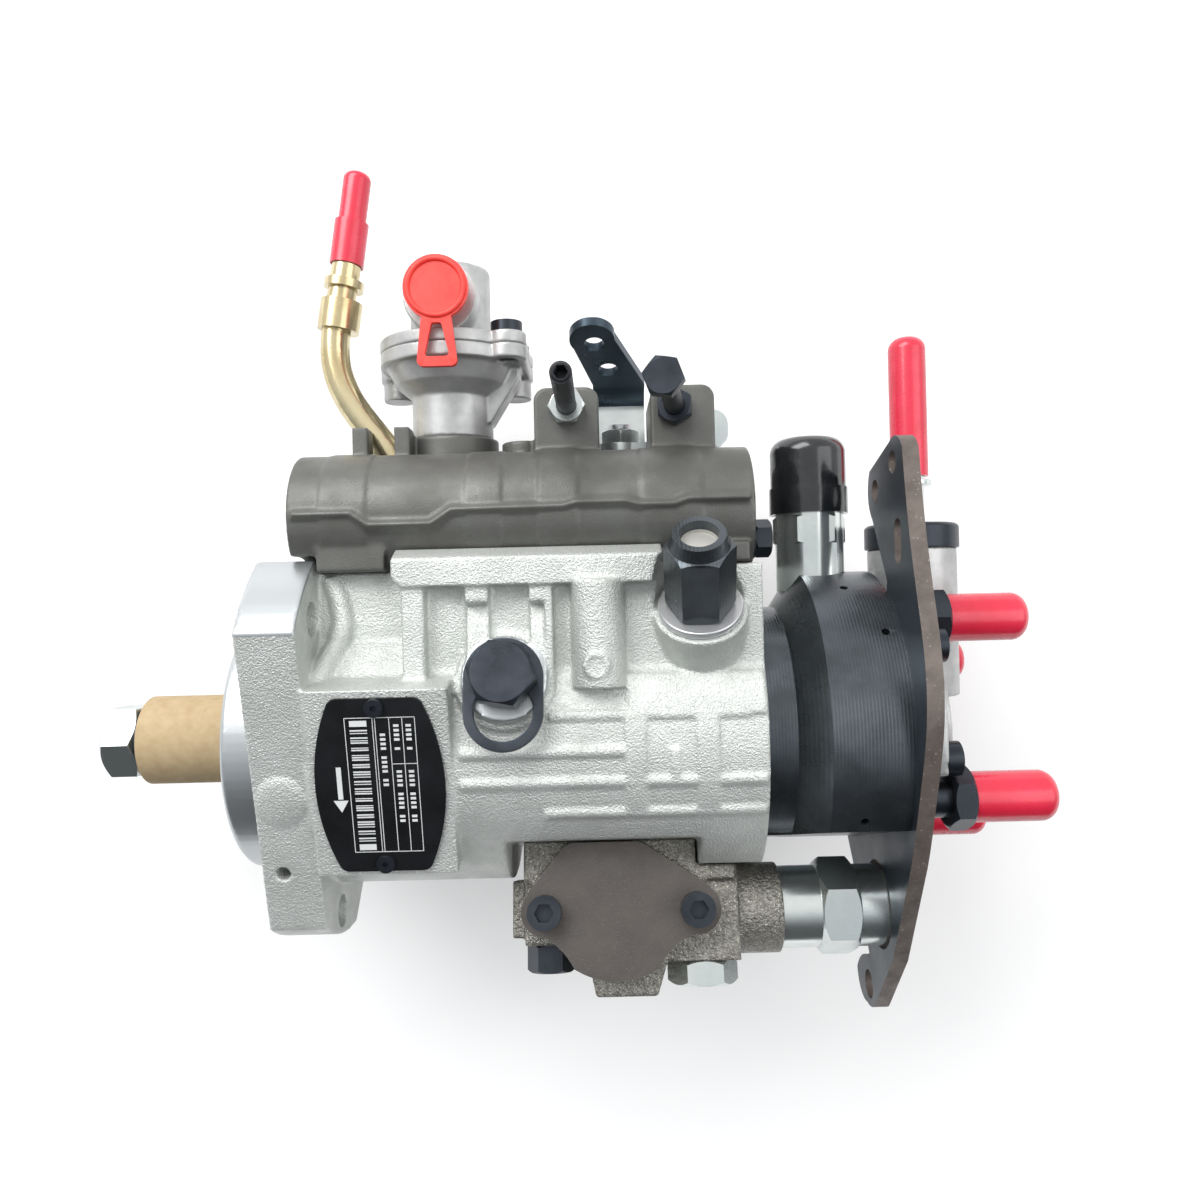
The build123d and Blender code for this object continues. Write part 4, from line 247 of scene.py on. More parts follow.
def wire(tree, source, target):
    """Link an output to an input."""
    tree.links.new(source, target)


def add(tree, kind, **values):
    """Node with its settings; a key that starts with in_ sets an input by its name or its number."""
    node = tree.nodes.new(kind)
    for key, value in values.items():
        if key.startswith("in_"):
            name = key[3:]
            node.inputs[int(name) if name.isdigit() else name.replace("_", " ")].default_value = value
        else:
            setattr(node, key, value)
    return node


def new_group(name, inputs, outputs):
    """Empty node group with named sockets, and its start and end nodes."""
    tree = bpy.data.node_groups.new(name, "ShaderNodeTree")
    for label, kind, default in inputs:
        socket = tree.interface.new_socket(name=label, in_out="INPUT", socket_type=kind)
        socket.default_value = default
    for label, kind in outputs:
        tree.interface.new_socket(name=label, in_out="OUTPUT", socket_type=kind)
    return tree, tree.nodes.new("NodeGroupInput"), tree.nodes.new("NodeGroupOutput")


def grain_group():
    """Sand-mould grain: a coarse and a fine noise as height, and slow clouds as a mask."""
    inputs = [("Scale", "NodeSocketFloat", 900.0), ("Clouds", "NodeSocketFloat", 60.0)]
    outputs = [("Height", "NodeSocketFloat"), ("Mask", "NodeSocketFloat")]
    tree, start, end = new_group("grain", inputs, outputs)
    place = add(tree, "ShaderNodeTexCoord")
    coarse = add(tree, "ShaderNodeTexNoise", in_Detail=3.0, in_Roughness=0.6)
    fine = add(tree, "ShaderNodeTexVoronoi", feature="SMOOTH_F1")
    clouds = add(tree, "ShaderNodeTexNoise", in_Detail=4.0, in_Roughness=0.6)
    double = add(tree, "ShaderNodeMath", operation="MULTIPLY", in_1=1.7)
    blend = add(tree, "ShaderNodeMath", operation="MULTIPLY_ADD", in_1=0.45)
    for texture in (coarse, fine, clouds):
        wire(tree, place.outputs["Object"], texture.inputs["Vector"])
    wire(tree, start.outputs["Scale"], coarse.inputs["Scale"])
    wire(tree, start.outputs["Scale"], double.inputs[0])
    wire(tree, double.outputs[0], fine.inputs["Scale"])
    wire(tree, start.outputs["Clouds"], clouds.inputs["Scale"])
    wire(tree, fine.outputs["Distance"], blend.inputs[0])
    wire(tree, coarse.outputs["Fac"], blend.inputs[2])
    wire(tree, blend.outputs[0], end.inputs["Height"])
    wire(tree, clouds.outputs["Fac"], end.inputs["Mask"])
    return tree


def marks_group():
    """Fine tool marks square to one axis, broken up by noise; a coarse pitch makes a screw thread."""
    inputs = [("Pitch", "NodeSocketFloat", 0.0004), ("Turn", "NodeSocketVector", (0, 0, 0)),
              ("Wander", "NodeSocketFloat", 0.5)]
    tree, start, end = new_group("tool_marks", inputs, [("Height", "NodeSocketFloat")])
    place = add(tree, "ShaderNodeTexCoord")
    turn = add(tree, "ShaderNodeMapping")
    split = add(tree, "ShaderNodeSeparateXYZ")
    wide = add(tree, "ShaderNodeMath", operation="DIVIDE")
    noise = add(tree, "ShaderNodeTexNoise", noise_dimensions="1D", in_Scale=0.37, in_Detail=2.0)
    wave = add(tree, "ShaderNodeMath", operation="MULTIPLY_ADD", in_1=math.tau)
    wander = add(tree, "ShaderNodeMath", operation="MULTIPLY")
    sine = add(tree, "ShaderNodeMath", operation="SINE")
    wire(tree, place.outputs["Object"], turn.inputs["Vector"])
    wire(tree, start.outputs["Turn"], turn.inputs["Rotation"])
    wire(tree, turn.outputs[0], split.inputs[0])
    wire(tree, split.outputs["X"], wide.inputs[0])
    wire(tree, start.outputs["Pitch"], wide.inputs[1])
    wire(tree, wide.outputs[0], noise.inputs["W"])
    wire(tree, noise.outputs["Fac"], wander.inputs[0])
    wire(tree, start.outputs["Wander"], wander.inputs[1])
    wire(tree, wide.outputs[0], wave.inputs[0])
    wire(tree, wander.outputs[0], wave.inputs[2])
    wire(tree, wave.outputs[0], sine.inputs[0])
    wire(tree, sine.outputs[0], end.inputs["Height"])
    return tree


GRAIN = grain_group()
MARKS = marks_group()


def use(tree, group, **values):
    """Place a group in a material with its own values."""
    node = add(tree, "ShaderNodeGroup", node_tree=group)
    for key, value in values.items():
        node.inputs[key].default_value = value
    return node


def finish(name, base, shade, metallic, rough, rough_to, grain, depth, clouds=60.0, coat=0.0,
           marks=None, marks_depth=0.0, turn=(0, 0, 0), wander=0.0, specks=None):
    """Surface finish: two tones in slow clouds, roughness that follows them, grain and tool marks as relief.

    Depths and the pitch of the marks are in millimetres. Specks are given as their tone, their scale and the
    share of the surface that stays without them.
    """
    material = bpy.data.materials.new(name)
    material.use_nodes = True
    tree = material.node_tree
    shader = tree.nodes["Principled BSDF"]
    shader.inputs["Metallic"].default_value = metallic
    shader.inputs["Coat Weight"].default_value = coat
    shader.inputs["Coat Roughness"].default_value = 0.12
    surface = use(tree, GRAIN, Scale=grain, Clouds=clouds)
    ramp = add(tree, "ShaderNodeMapRange", in_From_Min=0.35, in_From_Max=0.65)
    wire(tree, surface.outputs["Mask"], ramp.inputs["Value"])
    colour = add(tree, "ShaderNodeMix", data_type="RGBA")
    colour.inputs["A"].default_value = tone(*base)
    colour.inputs["B"].default_value = tone(*shade)
    wire(tree, ramp.outputs[0], colour.inputs["Factor"])
    dull = add(tree, "ShaderNodeMapRange", in_To_Min=rough, in_To_Max=rough_to)
    wire(tree, ramp.outputs[0], dull.inputs["Value"])
    wire(tree, dull.outputs[0], shader.inputs["Roughness"])
    out_colour = colour.outputs["Result"]
    if specks is not None:
        speck_tone, speck_scale, bare_share = specks
        place = add(tree, "ShaderNodeTexCoord")
        dots = add(tree, "ShaderNodeTexVoronoi", in_Scale=speck_scale)
        wire(tree, place.outputs["Object"], dots.inputs["Vector"])
        pick = add(tree, "ShaderNodeSeparateColor")
        wire(tree, dots.outputs["Color"], pick.inputs[0])
        few = add(tree, "ShaderNodeMapRange", in_From_Min=bare_share, in_From_Max=1.0)
        wire(tree, pick.outputs[0], few.inputs["Value"])
        bright = add(tree, "ShaderNodeMix", data_type="RGBA")
        bright.inputs["B"].default_value = tone(*speck_tone)
        wire(tree, out_colour, bright.inputs["A"])
        wire(tree, few.outputs[0], bright.inputs["Factor"])
        out_colour = bright.outputs["Result"]
    wire(tree, out_colour, shader.inputs["Base Color"])
    relief = add(tree, "ShaderNodeBump", in_Strength=1.0, in_Distance=depth * MM)
    wire(tree, surface.outputs["Height"], relief.inputs["Height"])
    if marks:
        lines = use(tree, MARKS, Pitch=marks * MM, Turn=turn, Wander=wander)
        second = add(tree, "ShaderNodeBump", in_Strength=1.0, in_Distance=marks_depth * MM)
        wire(tree, lines.outputs["Height"], second.inputs["Height"])
        wire(tree, relief.outputs[0], second.inputs["Normal"])
        relief = second
    wire(tree, relief.outputs[0], shader.inputs["Normal"])
    return material


def zoned(name, cast, machined, zones):
    """Cast finish with bright machined zones.

    A zone is a list of (what, above, limit in mm) that must all hold. The machined finish is its tone, its
    roughness, how metallic it is and the pitch of its tool marks. In a mix node, inputs 2 and 3 are the two
    numbers, 4 and 5 the two vectors.
    """
    material = cast.copy()
    material.name = name
    tree = material.node_tree
    shader = tree.nodes["Principled BSDF"]
    place = add(tree, "ShaderNodeTexCoord")
    tilted = add(tree, "ShaderNodeMapping", in_Rotation=(-TILT, 0, 0))
    wire(tree, place.outputs["Object"], tilted.inputs["Vector"])
    straight = add(tree, "ShaderNodeSeparateXYZ")
    turned = add(tree, "ShaderNodeSeparateXYZ")
    wire(tree, place.outputs["Object"], straight.inputs[0])
    wire(tree, tilted.outputs[0], turned.inputs[0])

    def radius(a, b, at=(0.0, 0.0)):
        """Distance from an axis that stands at one place of two coordinates."""
        flat = add(tree, "ShaderNodeCombineXYZ")
        for k, source in enumerate((a, b)):
            shift = add(tree, "ShaderNodeMath", operation="SUBTRACT", in_1=at[k] * MM)
            wire(tree, source, shift.inputs[0])
            wire(tree, shift.outputs[0], flat.inputs[k])
        length = add(tree, "ShaderNodeVectorMath", operation="LENGTH")
        wire(tree, flat.outputs[0], length.inputs[0])
        return length.outputs["Value"]

    sources = {"x": straight.outputs["X"], "y": straight.outputs["Y"], "z": straight.outputs["Z"],
               "shaft_radius": radius(straight.outputs["Y"], straight.outputs["Z"]),
               "lock_radius": radius(turned.outputs["X"], turned.outputs["Y"], LOCK_AXIS),
               "lock_height": turned.outputs["Z"]}
    total = None
    for zone in zones:
        product = None
        for what, above, limit in zone:
            side = "GREATER_THAN" if above else "LESS_THAN"
            test = add(tree, "ShaderNodeMath", operation=side, in_1=limit * MM)
            wire(tree, sources[what], test.inputs[0])
            if product is None:
                product = test.outputs[0]
            else:
                both = add(tree, "ShaderNodeMath", operation="MULTIPLY")
                wire(tree, product, both.inputs[0])
                wire(tree, test.outputs[0], both.inputs[1])
                product = both.outputs[0]
        if total is None:
            total = product
        else:
            either = add(tree, "ShaderNodeMath", operation="MAXIMUM")
            wire(tree, total, either.inputs[0])
            wire(tree, product, either.inputs[1])
            total = either.outputs[0]
    bright, rough, metal, marks = machined
    was_colour = shader.inputs["Base Color"].links[0].from_socket
    was_rough = shader.inputs["Roughness"].links[0].from_socket
    was_normal = shader.inputs["Normal"].links[0].from_socket
    colour = add(tree, "ShaderNodeMix", data_type="RGBA")
    colour.inputs["B"].default_value = tone(*bright)
    wire(tree, was_colour, colour.inputs["A"])
    wire(tree, total, colour.inputs["Factor"])
    wire(tree, colour.outputs["Result"], shader.inputs["Base Color"])
    dull = add(tree, "ShaderNodeMix", data_type="FLOAT", in_3=rough)
    wire(tree, was_rough, dull.inputs[2])
    wire(tree, total, dull.inputs["Factor"])
    wire(tree, dull.outputs[0], shader.inputs["Roughness"])
    metallic = add(tree, "ShaderNodeMix", data_type="FLOAT", in_3=metal)
    metallic.inputs[2].default_value = shader.inputs["Metallic"].default_value
    wire(tree, total, metallic.inputs["Factor"])
    wire(tree, metallic.outputs[0], shader.inputs["Metallic"])
    lines = use(tree, MARKS, Pitch=marks * MM, Wander=8.0)
    ridges = add(tree, "ShaderNodeBump", in_Strength=0.6, in_Distance=0.006 * MM)
    wire(tree, lines.outputs["Height"], ridges.inputs["Height"])
    normal = add(tree, "ShaderNodeMix", data_type="VECTOR")
    wire(tree, was_normal, normal.inputs[4])
    wire(tree, ridges.outputs[0], normal.inputs[5])
    wire(tree, total, normal.inputs[0])
    wire(tree, normal.outputs[1], shader.inputs["Normal"])
    return material


# ================================================================ finishes
cast_aluminium = finish("cast_aluminium", (211, 214, 210), (196, 199, 195), 0.6, 0.42, 0.52, grain=1400,
                        depth=0.4, clouds=90)
housing_finish = zoned("housing_finish", cast_aluminium, ((186, 190, 192), 0.34, 0.85, 0.7),
                       [[("x", False, -0.3)],
                        [("shaft_radius", True, 65.9), ("x", False, 17.5)],
                        [("shaft_radius", True, 61.4), ("x", False, 17.5), ("z", False, -20.0)],
                        [("lock_radius", False, 12.6), ("lock_height", True, 49.6)]])
cast_smooth = finish("die_cast_aluminium", (190, 191, 190), (168, 169, 168), 0.5, 0.34, 0.46, grain=1700,
                     depth=0.04, clouds=120)
turned_aluminium = finish("turned_aluminium", (212, 213, 214), (196, 197, 199), 0.7, 0.26, 0.36,
                          grain=2400, depth=0.01)
cover_finish = finish("cover_coating", (100, 101, 97), (86, 86, 82), 0.35, 0.36, 0.48, grain=1800, depth=0.08,
                      clouds=70)
black_turned = finish("black_turned_steel", (74, 79, 83), (88, 94, 99), 0.85, 0.24, 0.34, grain=1200,
                      depth=0.004, marks=1.0, marks_depth=0.009, wander=2.0)
black_steel = finish("black_phosphate", (44, 49, 56), (58, 63, 70), 0.7, 0.26, 0.4, grain=2000, depth=0.02)
plate_face = finish("plate_coating", (52, 60, 68), (66, 74, 82), 0.6, 0.3, 0.42, grain=1500, depth=0.02,
                    clouds=70)
plate_edge = finish("plate_cut_edge", (112, 102, 96), (90, 82, 77), 0.3, 0.4, 0.55, grain=1500, depth=0.03,
                    clouds=160, specks=((150, 143, 136), 2600, 0.985))
# the bright specks on the rough iron are painted glints, light caught by the rough metal
dark_iron = finish("rough_iron", (148, 146, 139), (116, 113, 106), 0.7, 0.34, 0.5, grain=1000, depth=0.6,
                   clouds=700, specks=((196, 193, 184), 3600, 0.86))
cover_plate = finish("advance_plate", (86, 81, 77), (77, 72, 69), 0.35, 0.36, 0.48, grain=1800, depth=0.05,
                     clouds=110, specks=((104, 98, 92), 4000, 0.97))
plate_rim = finish("advance_plate_rim", (206, 200, 192), (176, 170, 162), 0.6, 0.3, 0.45, grain=1800,
                   depth=0.02)
# painted shade: a darker copy of the bright zinc, laid on the lever arm's faces that turn up
painted_shade_zinc = finish("zinc_with_painted_shade", (50, 62, 72), (64, 76, 86), 0.7, 0.26, 0.36, grain=1600, depth=0.01,
                   clouds=50)
zinc = finish("bright_zinc", (214, 220, 217), (196, 203, 203), 0.92, 0.18, 0.28, grain=1600, depth=0.008)
yellow_zinc = finish("yellow_zinc", (214, 202, 166), (190, 172, 130), 0.9, 0.17, 0.27, grain=1600,
                     depth=0.006)
thread_black = finish("black_thread", (40, 41, 46), (60, 62, 67), 0.6, 0.28, 0.42, grain=2000, depth=0.01,
                      marks=1.0, marks_depth=0.3, turn=(0, math.radians(90), 0))
bare_steel = finish("ground_steel", (176, 178, 181), (150, 152, 156), 0.9, 0.22, 0.35, grain=2400, depth=0.01)
plug_steel = finish("pressed_cup", (196, 194, 188), (180, 178, 172), 0.4, 0.36, 0.48, grain=1500, depth=0.03)
bronze = finish("bearing_bronze", (176, 140, 84), (150, 116, 66), 0.85, 0.3, 0.42, grain=1600, depth=0.02)
red_vinyl = finish("red_vinyl", (222, 44, 72), (210, 33, 60), 0.0, 0.24, 0.34, grain=500, depth=0.015,
                   clouds=110, coat=0.3)
orange_plug = finish("orange_plastic", (248, 74, 64), (240, 60, 52), 0.0, 0.42, 0.5, grain=1300, depth=0.01,
                     clouds=150)
black_rubber = finish("black_cap", (16, 17, 20), (28, 30, 33), 0.0, 0.16, 0.28, grain=300, depth=0.05,
                      clouds=150, coat=0.5)
seal_rubber = finish("seal_rubber", (30, 30, 30), (44, 44, 44), 0.0, 0.5, 0.65, grain=1200, depth=0.04)
kraft = finish("kraft_paper", (188, 166, 130), (178, 155, 119), 0.0, 0.72, 0.86, grain=1500, depth=0.03,
               clouds=300, specks=((186, 154, 116), 2600, 0.97))
label_black = finish("label_black", (17, 17, 19), (26, 27, 30), 0.1, 0.24, 0.34, grain=1800, depth=0.006)
label_white = finish("label_white", (230, 232, 232), (214, 216, 216), 0.1, 0.4, 0.5, grain=1800, depth=0.006)
diaphragm = finish("diaphragm_cloth", (40, 40, 42), (54, 54, 56), 0.0, 0.6, 0.7, grain=1500, depth=0.05)


# ================================================================ castings
def housing_extras():
    """Cast lumps of the housing: a web behind the upper ear, an oval on the flange, a grid of low ribs."""
    oval = ball((0, 0, 0), (7.4, 8.0, 1.5))
    oval_place = Matrix.Translation(Vector((7.9, -12.6, 43.0)) * MM)
    oval.data.transform(oval_place @ Matrix.Rotation(math.radians(15), 4, "X"))
    boss_ring = torus((98.6, 24.4, 49.4), 3.2, 0.6)
    lumps = [oval, boss_ring]
    web_radius = 3.3
    web = ((20.6, 51.0, 31.6), (23.4, 44.0, 32.4), (24.4, 37.5, 33.0), (22.8, 31.0, 34.6), (20.0, 25.0, 38.6),
           (17.8, 19.6, 42.6), (17.4, 17.0, 46.0))
    for start, end in zip(web, web[1:]):
        lumps.append(rod(start, end, web_radius, sides=32))
        lumps.append(ball(end, (web_radius, web_radius, web_radius)))
    rib_radius, rib_sunk = 2.0, 0.9
    ribs_along = ((84.8, 141.7, 9.9, 45.3), (59.5, 105.6, 0.0, 46.4), (59.5, 146.0, -8.6, 45.6),
                  (83.0, 146.0, -17.6, 42.9), (108.0, 146.0, 19.7, 41.9))
    for x0, x1, y, z in ribs_along:
        lumps.append(rod((x0, y, z - rib_sunk), (x1, y, z - rib_sunk), rib_radius))
    lumps.append(sector(107.5, 146.2, 47.35, 9.9, 19.7))
    ribs_round = ((106.3, 111.9, -17.6, 9.9), (126.5, 132.6, -17.6, 9.9), (119.0, 121.5, -8.6, 0.5))
    for x0, x1, low, high in ribs_round:
        lumps.append(sector(x0, x1, 47.4, low, high))
    return lumps


def housing_holes():
    """Small blind hole in the lower part of the flange."""
    return [rod((6.0, -33.4, 30.0), (6.0, -36.6, 44.0), 2.1)]


casting("pump_housing", "housing_body", housing_finish, voxel=0.62, rounds=3, most_triangles=196000,
        extras=housing_extras(), holes=housing_holes())


def cover_extras():
    """Soft bulges round the cover's barrel, and the wavy mould crease along its front."""
    lumps = []
    barrel_y, barrel_z = 68.5, 21.0
    for x0, x1, r in ((20.0, 33.0, 20.4), (62.0, 72.0, 20.4), (83.0, 94.0, 20.5), (113.0, 130.0, 20.4)):
        lumps.append(rod((x0, barrel_y, barrel_z), (x1, barrel_y, barrel_z), r, sides=96))
    crease_z, half_width, overlap = 27.3, 10.9, 0.4
    crease = ((12.5, 69.0), (29.0, 69.0), (34.0, 65.6), (52.0, 65.6), (58.0, 69.5), (90.0, 69.8),
              (94.0, 70.8), (108.0, 70.8), (112.0, 69.8), (122.0, 69.8), (126.0, 71.2), (143.4, 71.2))
    for (x0, y0), (x1, y1) in zip(crease, crease[1:]):
        length = math.hypot(x1 - x0, y1 - y0)
        middle = Matrix.Translation(Vector(((x0 + x1) / 2, (y0 + y1) / 2, crease_z)) * MM)
        along = Matrix.Rotation(math.atan2(y1 - y0, x1 - x0), 4, "Z")
        on_edge = Matrix.Rotation(math.pi / 4, 4, "X")
        reach = length / 2 + overlap
        lumps.append(box((-reach, -half_width, -half_width), (reach, half_width, half_width),
                         middle @ along @ on_edge))
    corner_block = box((137.0, 52.8, 30.0), (143.5, 58.5, 41.0))
    lumps.append(corner_block)
    return lumps


casting("control_cover", "cover_body", cover_finish, voxel=0.62, rounds=3, most_triangles=190000,
        extras=cover_extras())
casting("advance_housing", "advance_body", dark_iron, voxel=0.7, rounds=3, most_triangles=160000)
casting("boost_lower_housing", "boost_lower_body", cast_smooth, voxel=0.45, rounds=4, most_triangles=150000)
casting("boost_upper_cover", "boost_upper_body", cast_smooth, voxel=0.45, rounds=4, most_triangles=150000)
casting("end_plate", "end_plate_body", cast_smooth, voxel=0.6, rounds=3, most_triangles=150000)


# ================================================================ machined pieces and fittings
def rivet_sockets():
    """Tools for the hexagon sockets in the nameplate's two rivets."""
    place = Matrix.Translation(PLATE_CENTRE) @ PLATE_LEAN
    reach, socket_radius = 23.4, 1.0
    low, high = 1.2, 3.0                      # from the socket's floor to above the rivet's head
    return [rod(place @ Vector((0, v, low)), place @ Vector((0, v, high)), socket_radius, sides=6)
            for v in (reach, -reach)]


hardware("hydraulic_head", "head_body", black_turned, 0.5, 3)
hardware("outlet_unions", "outlet_union_set", black_steel, 0.3)
hardware("outlet_caps", "outlet_cap_set", red_vinyl, 0.5, 3)
hardware("inlet_ring", "inlet_ring_body", black_steel, 0.4)
hardware("inlet_stub", "inlet_stub_body", zinc, 0.3)
hardware("inlet_cap", "inlet_cap_body", red_vinyl, 0.4, 3)
hardware("cap_screws", "cap_screw_set", black_steel, 0.3, 3)
hardware("shaft_nut", "shaft_nut_body", zinc, 0.35, 3)
hardware("shaft_washers", "shaft_washer_set", black_steel, 0.2)
hardware("shaft_guard_tube", "guard_tube_body", kraft, 0.3)
hardware("cover_end_plug", "cover_end_plug_body", black_steel, 0.25)
hardware("idle_stop_screw", "idle_stop_screw_body", thread_black, 0.2)
hardware("max_stop_screw", "max_stop_screw_body", black_steel, 0.3)
locknuts = hardware("stop_screw_locknuts", "locknut_set", zinc, 0.3)
hardware("throttle_shaft", "throttle_shaft_body", bare_steel, 0.3)
lever = hardware("throttle_lever", "throttle_lever_body", zinc, 0.3)
hardware("throttle_nut", "throttle_nut_body", zinc, 0.3)
plug_bead = torus((52.4, 138.6, 26.2), 8.6, 0.85)
hardware("boost_port_plug", "boost_plug_body", orange_plug, 0.45, 3, extras=[plug_bead])
hardware("return_tube", "return_tube_body", yellow_zinc, 0.35, 3)
hardware("return_tube_cap", "return_tube_cap_body", red_vinyl, 0.5, 3)
hardware("stop_solenoid", "stop_solenoid_body", zinc, 0.4, 3)
hardware("solenoid_cap", "solenoid_cap_body", black_rubber, 0.6, 3)
hardware("advance_nut", "advance_nut_body", black_steel, 0.4, 3)
hardware("head_locating_bolt", "locating_bolt_body", zinc, 0.4, 3)
hardware("cold_advance_solenoid", "cold_solenoid_body", zinc, 0.5, 3)
hardware("shaft_locking_screw", "locking_screw_body", black_steel, 0.4, 3)
hardware("locking_spacer", "locking_spacer_body", black_steel, 0.3)
hardware("tamper_sleeve", "tamper_sleeve_body", black_turned, 0.5, 3)
hardware("tamper_plug", "tamper_plug_body", plug_steel, 0.25)
hardware("tamper_washer", "tamper_washer_body", turned_aluminium, 0.5, 3)
hardware("nameplate_rivets", "nameplate_rivet_set", black_steel, 0.4, 3, holes=rivet_sockets())
hardware("front_oil_seal", "front_seal_body", seal_rubber, 0.3)


def second_finish(obj, material, is_picked):
    """Give a second finish to the faces that the test picks by their normal and place."""
    obj.data.materials.append(material)
    for face in obj.data.polygons:
        if is_picked(face):
            face.material_index = 1


CUT_EDGE_TURN = 0.85                      # the support plate's faces that turn further away are its edges
RIM_TURN = 0.97                           # the same for the plate of the advance unit
LEVER_ARM_Y = 112.5 * MM                  # the lever's arm starts here
LOCKNUT_GAP_X = 108 * MM                  # between the idle screw's locknut and the other one

bracket = hardware("support_plate", "support_plate_body", plate_face, 0.35)
second_finish(bracket, plate_edge, lambda face: abs(face.normal.x) < CUT_EDGE_TURN)
# painted shade: the lever arm's upward faces get the darker copy of the zinc the lever is made of
second_finish(lever, painted_shade_zinc, lambda face: face.center.y > LEVER_ARM_Y and face.normal.z > 0.05)
lid = hardware("advance_cover", "advance_cover_body", cover_plate, 0.35)
second_finish(lid, plate_rim, lambda face: abs(face.normal.dot(FRONT)) < RIM_TURN)
second_finish(locknuts, black_steel, lambda face: face.center.x > LOCKNUT_GAP_X)


# ================================================================ nameplate
def nameplate():
    """Black plate with plain ruled boxes, a row of bars and an arrow; it carries no words."""
    hardware("nameplate", "nameplate_body", label_black, 0.2)
    place = Matrix.Translation(PLATE_CENTRE * MM) @ PLATE_LEAN
    marks = []
    top, sunk, raised = 0.8, 0.1, 0.05        # the plate's face over its middle, and the print in and on it

    def strip(u0, v0, u1, v1):
        """Printed patch on the plate, from corner to corner across (u) and along (v) it."""
        marks.append(box((u0, v0, top - sunk), (u1, v1, top + raised), place))

    line = 0.2
    left, column, right = -8.6, 3.7, 10.8
    low, high = -20.0, 20.3
    for u in (left, -0.9, -0.2, column, 7.3, right):
        strip(u, low, u + line, high + line)
    for v in (low, high):
        strip(left, v, right + line, v + line)
    strip(column, 6.6, right, 6.6 + line)

    bar_left, bar_right = -7.2, -2.4
    bars, bar_start, bar_pitch, bar_thick, bar_thin = 47, -16.6, 0.72, 0.42, 0.26
    for k in range(bars):
        v = bar_start + bar_pitch * k
        if k % 7 not in (2, 5):
            strip(bar_left, v, bar_right, v + (bar_thick if k % 3 else bar_thin))
    strip(bar_left, 17.9, bar_right, 19.6)
    strip(bar_left, -19.3, bar_right, -17.5)

    dash_pitch, dash_width, dash_length = 1.35, 1.5, 0.75
    dashes = ((8.3, 17.6, 6), (8.3, 4.0, 12), (4.9, 17.6, 6), (4.9, 4.0, 12), (1.0, 15.0, 12))
    for u, start, count in dashes:
        for k in range(count):
            v = start - dash_pitch * k
            if k % 5 != 4:
                strip(u, v, u + dash_width, v + dash_length)

    strip(-12.0, -3.6, -10.6, 6.0)
    bpy.ops.object.select_all(action="DESELECT")
    head_radius, half_print = 2.4 * MM, (sunk + raised) / 2
    bpy.ops.mesh.primitive_cone_add(vertices=3, radius1=head_radius, radius2=head_radius,
                                    depth=(sunk + raised) * MM, rotation=(0, 0, math.radians(180)),
                                    location=(-11.3 * MM, -5.2 * MM, (top - sunk + half_print) * MM))
    arrow_head = bpy.context.active_object
    settle(arrow_head)
    arrow_head.data.transform(place)
    marks.append(arrow_head)
    printed = join(marks[0], marks[1:])
    printed.name = "nameplate_marks"
    printed.data.materials.clear()
    printed.data.materials.append(label_white)
    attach(printed, NODES["nameplate"]["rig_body"])


nameplate()

# ================================================================ solids that stay as they are
STEEL_SOLIDS = ("drive_shaft", "governor_weights", "governor_sleeve", "governor_arm", "metering_valve",
                "cam_ring", "cam_rollers", "roller_shoes", "pump_plungers", "distributor_rotor",
                "delivery_valves", "transfer_pump_rotor", "transfer_pump_blades", "boost_spring",
                "stop_plunger", "advance_piston", "advance_spring")
CARRIED = dict.fromkeys(STEEL_SOLIDS, bare_steel)
CARRIED["drive_shaft_bush"] = bronze
CARRIED["boost_diaphragm"] = diaphragm
for carried_node, carried_finish in CARRIED.items():
    mesh = NODES[carried_node].data
    mesh.materials.clear()
    mesh.materials.append(carried_finish)


# ================================================================ floor, light and camera
def floor():
    """Pale bench that reads as white, more so far from the pump, and keeps the pump's shadow."""
    lowest, clearance = cad_box[0].z, 0.2 * MM
    middle_x, middle_y = 0.08, 0.04
    bpy.ops.object.select_all(action="DESELECT")
    bpy.ops.mesh.primitive_plane_add(size=6, location=(middle_x, middle_y, lowest - clearance))
    bench = bpy.context.active_object
    bench.name = "bench"
    material = bpy.data.materials.new("bench_white")
    material.use_nodes = True
    tree = material.node_tree
    shader = tree.nodes["Principled BSDF"]
    shader.inputs["Base Color"].default_value = (0.66, 0.66, 0.66, 1)
    shader.inputs["Roughness"].default_value = 0.8
    shader.inputs["Specular IOR Level"].default_value = 0.1
    path = add(tree, "ShaderNodeLightPath")
    seen = add(tree, "ShaderNodeMath", operation="MAXIMUM")
    wire(tree, path.outputs["Is Camera Ray"], seen.inputs[0])
    wire(tree, path.outputs["Is Glossy Ray"], seen.inputs[1])
    place = add(tree, "ShaderNodeTexCoord")
    away = add(tree, "ShaderNodeVectorMath", operation="LENGTH")
    wire(tree, place.outputs["Object"], away.inputs[0])
    glow = add(tree, "ShaderNodeMapRange", in_From_Min=0.25, in_From_Max=0.9, in_To_Min=0.36,
               in_To_Max=1.0, interpolation_type="SMOOTHSTEP")
    wire(tree, away.outputs["Value"], glow.inputs["Value"])
    lift = add(tree, "ShaderNodeMath", operation="MULTIPLY")
    wire(tree, seen.outputs[0], lift.inputs[0])
    wire(tree, glow.outputs[0], lift.inputs[1])
    shader.inputs["Emission Color"].default_value = (1, 1, 1, 1)
    wire(tree, lift.outputs[0], shader.inputs["Emission Strength"])
    bench.data.materials.append(material)


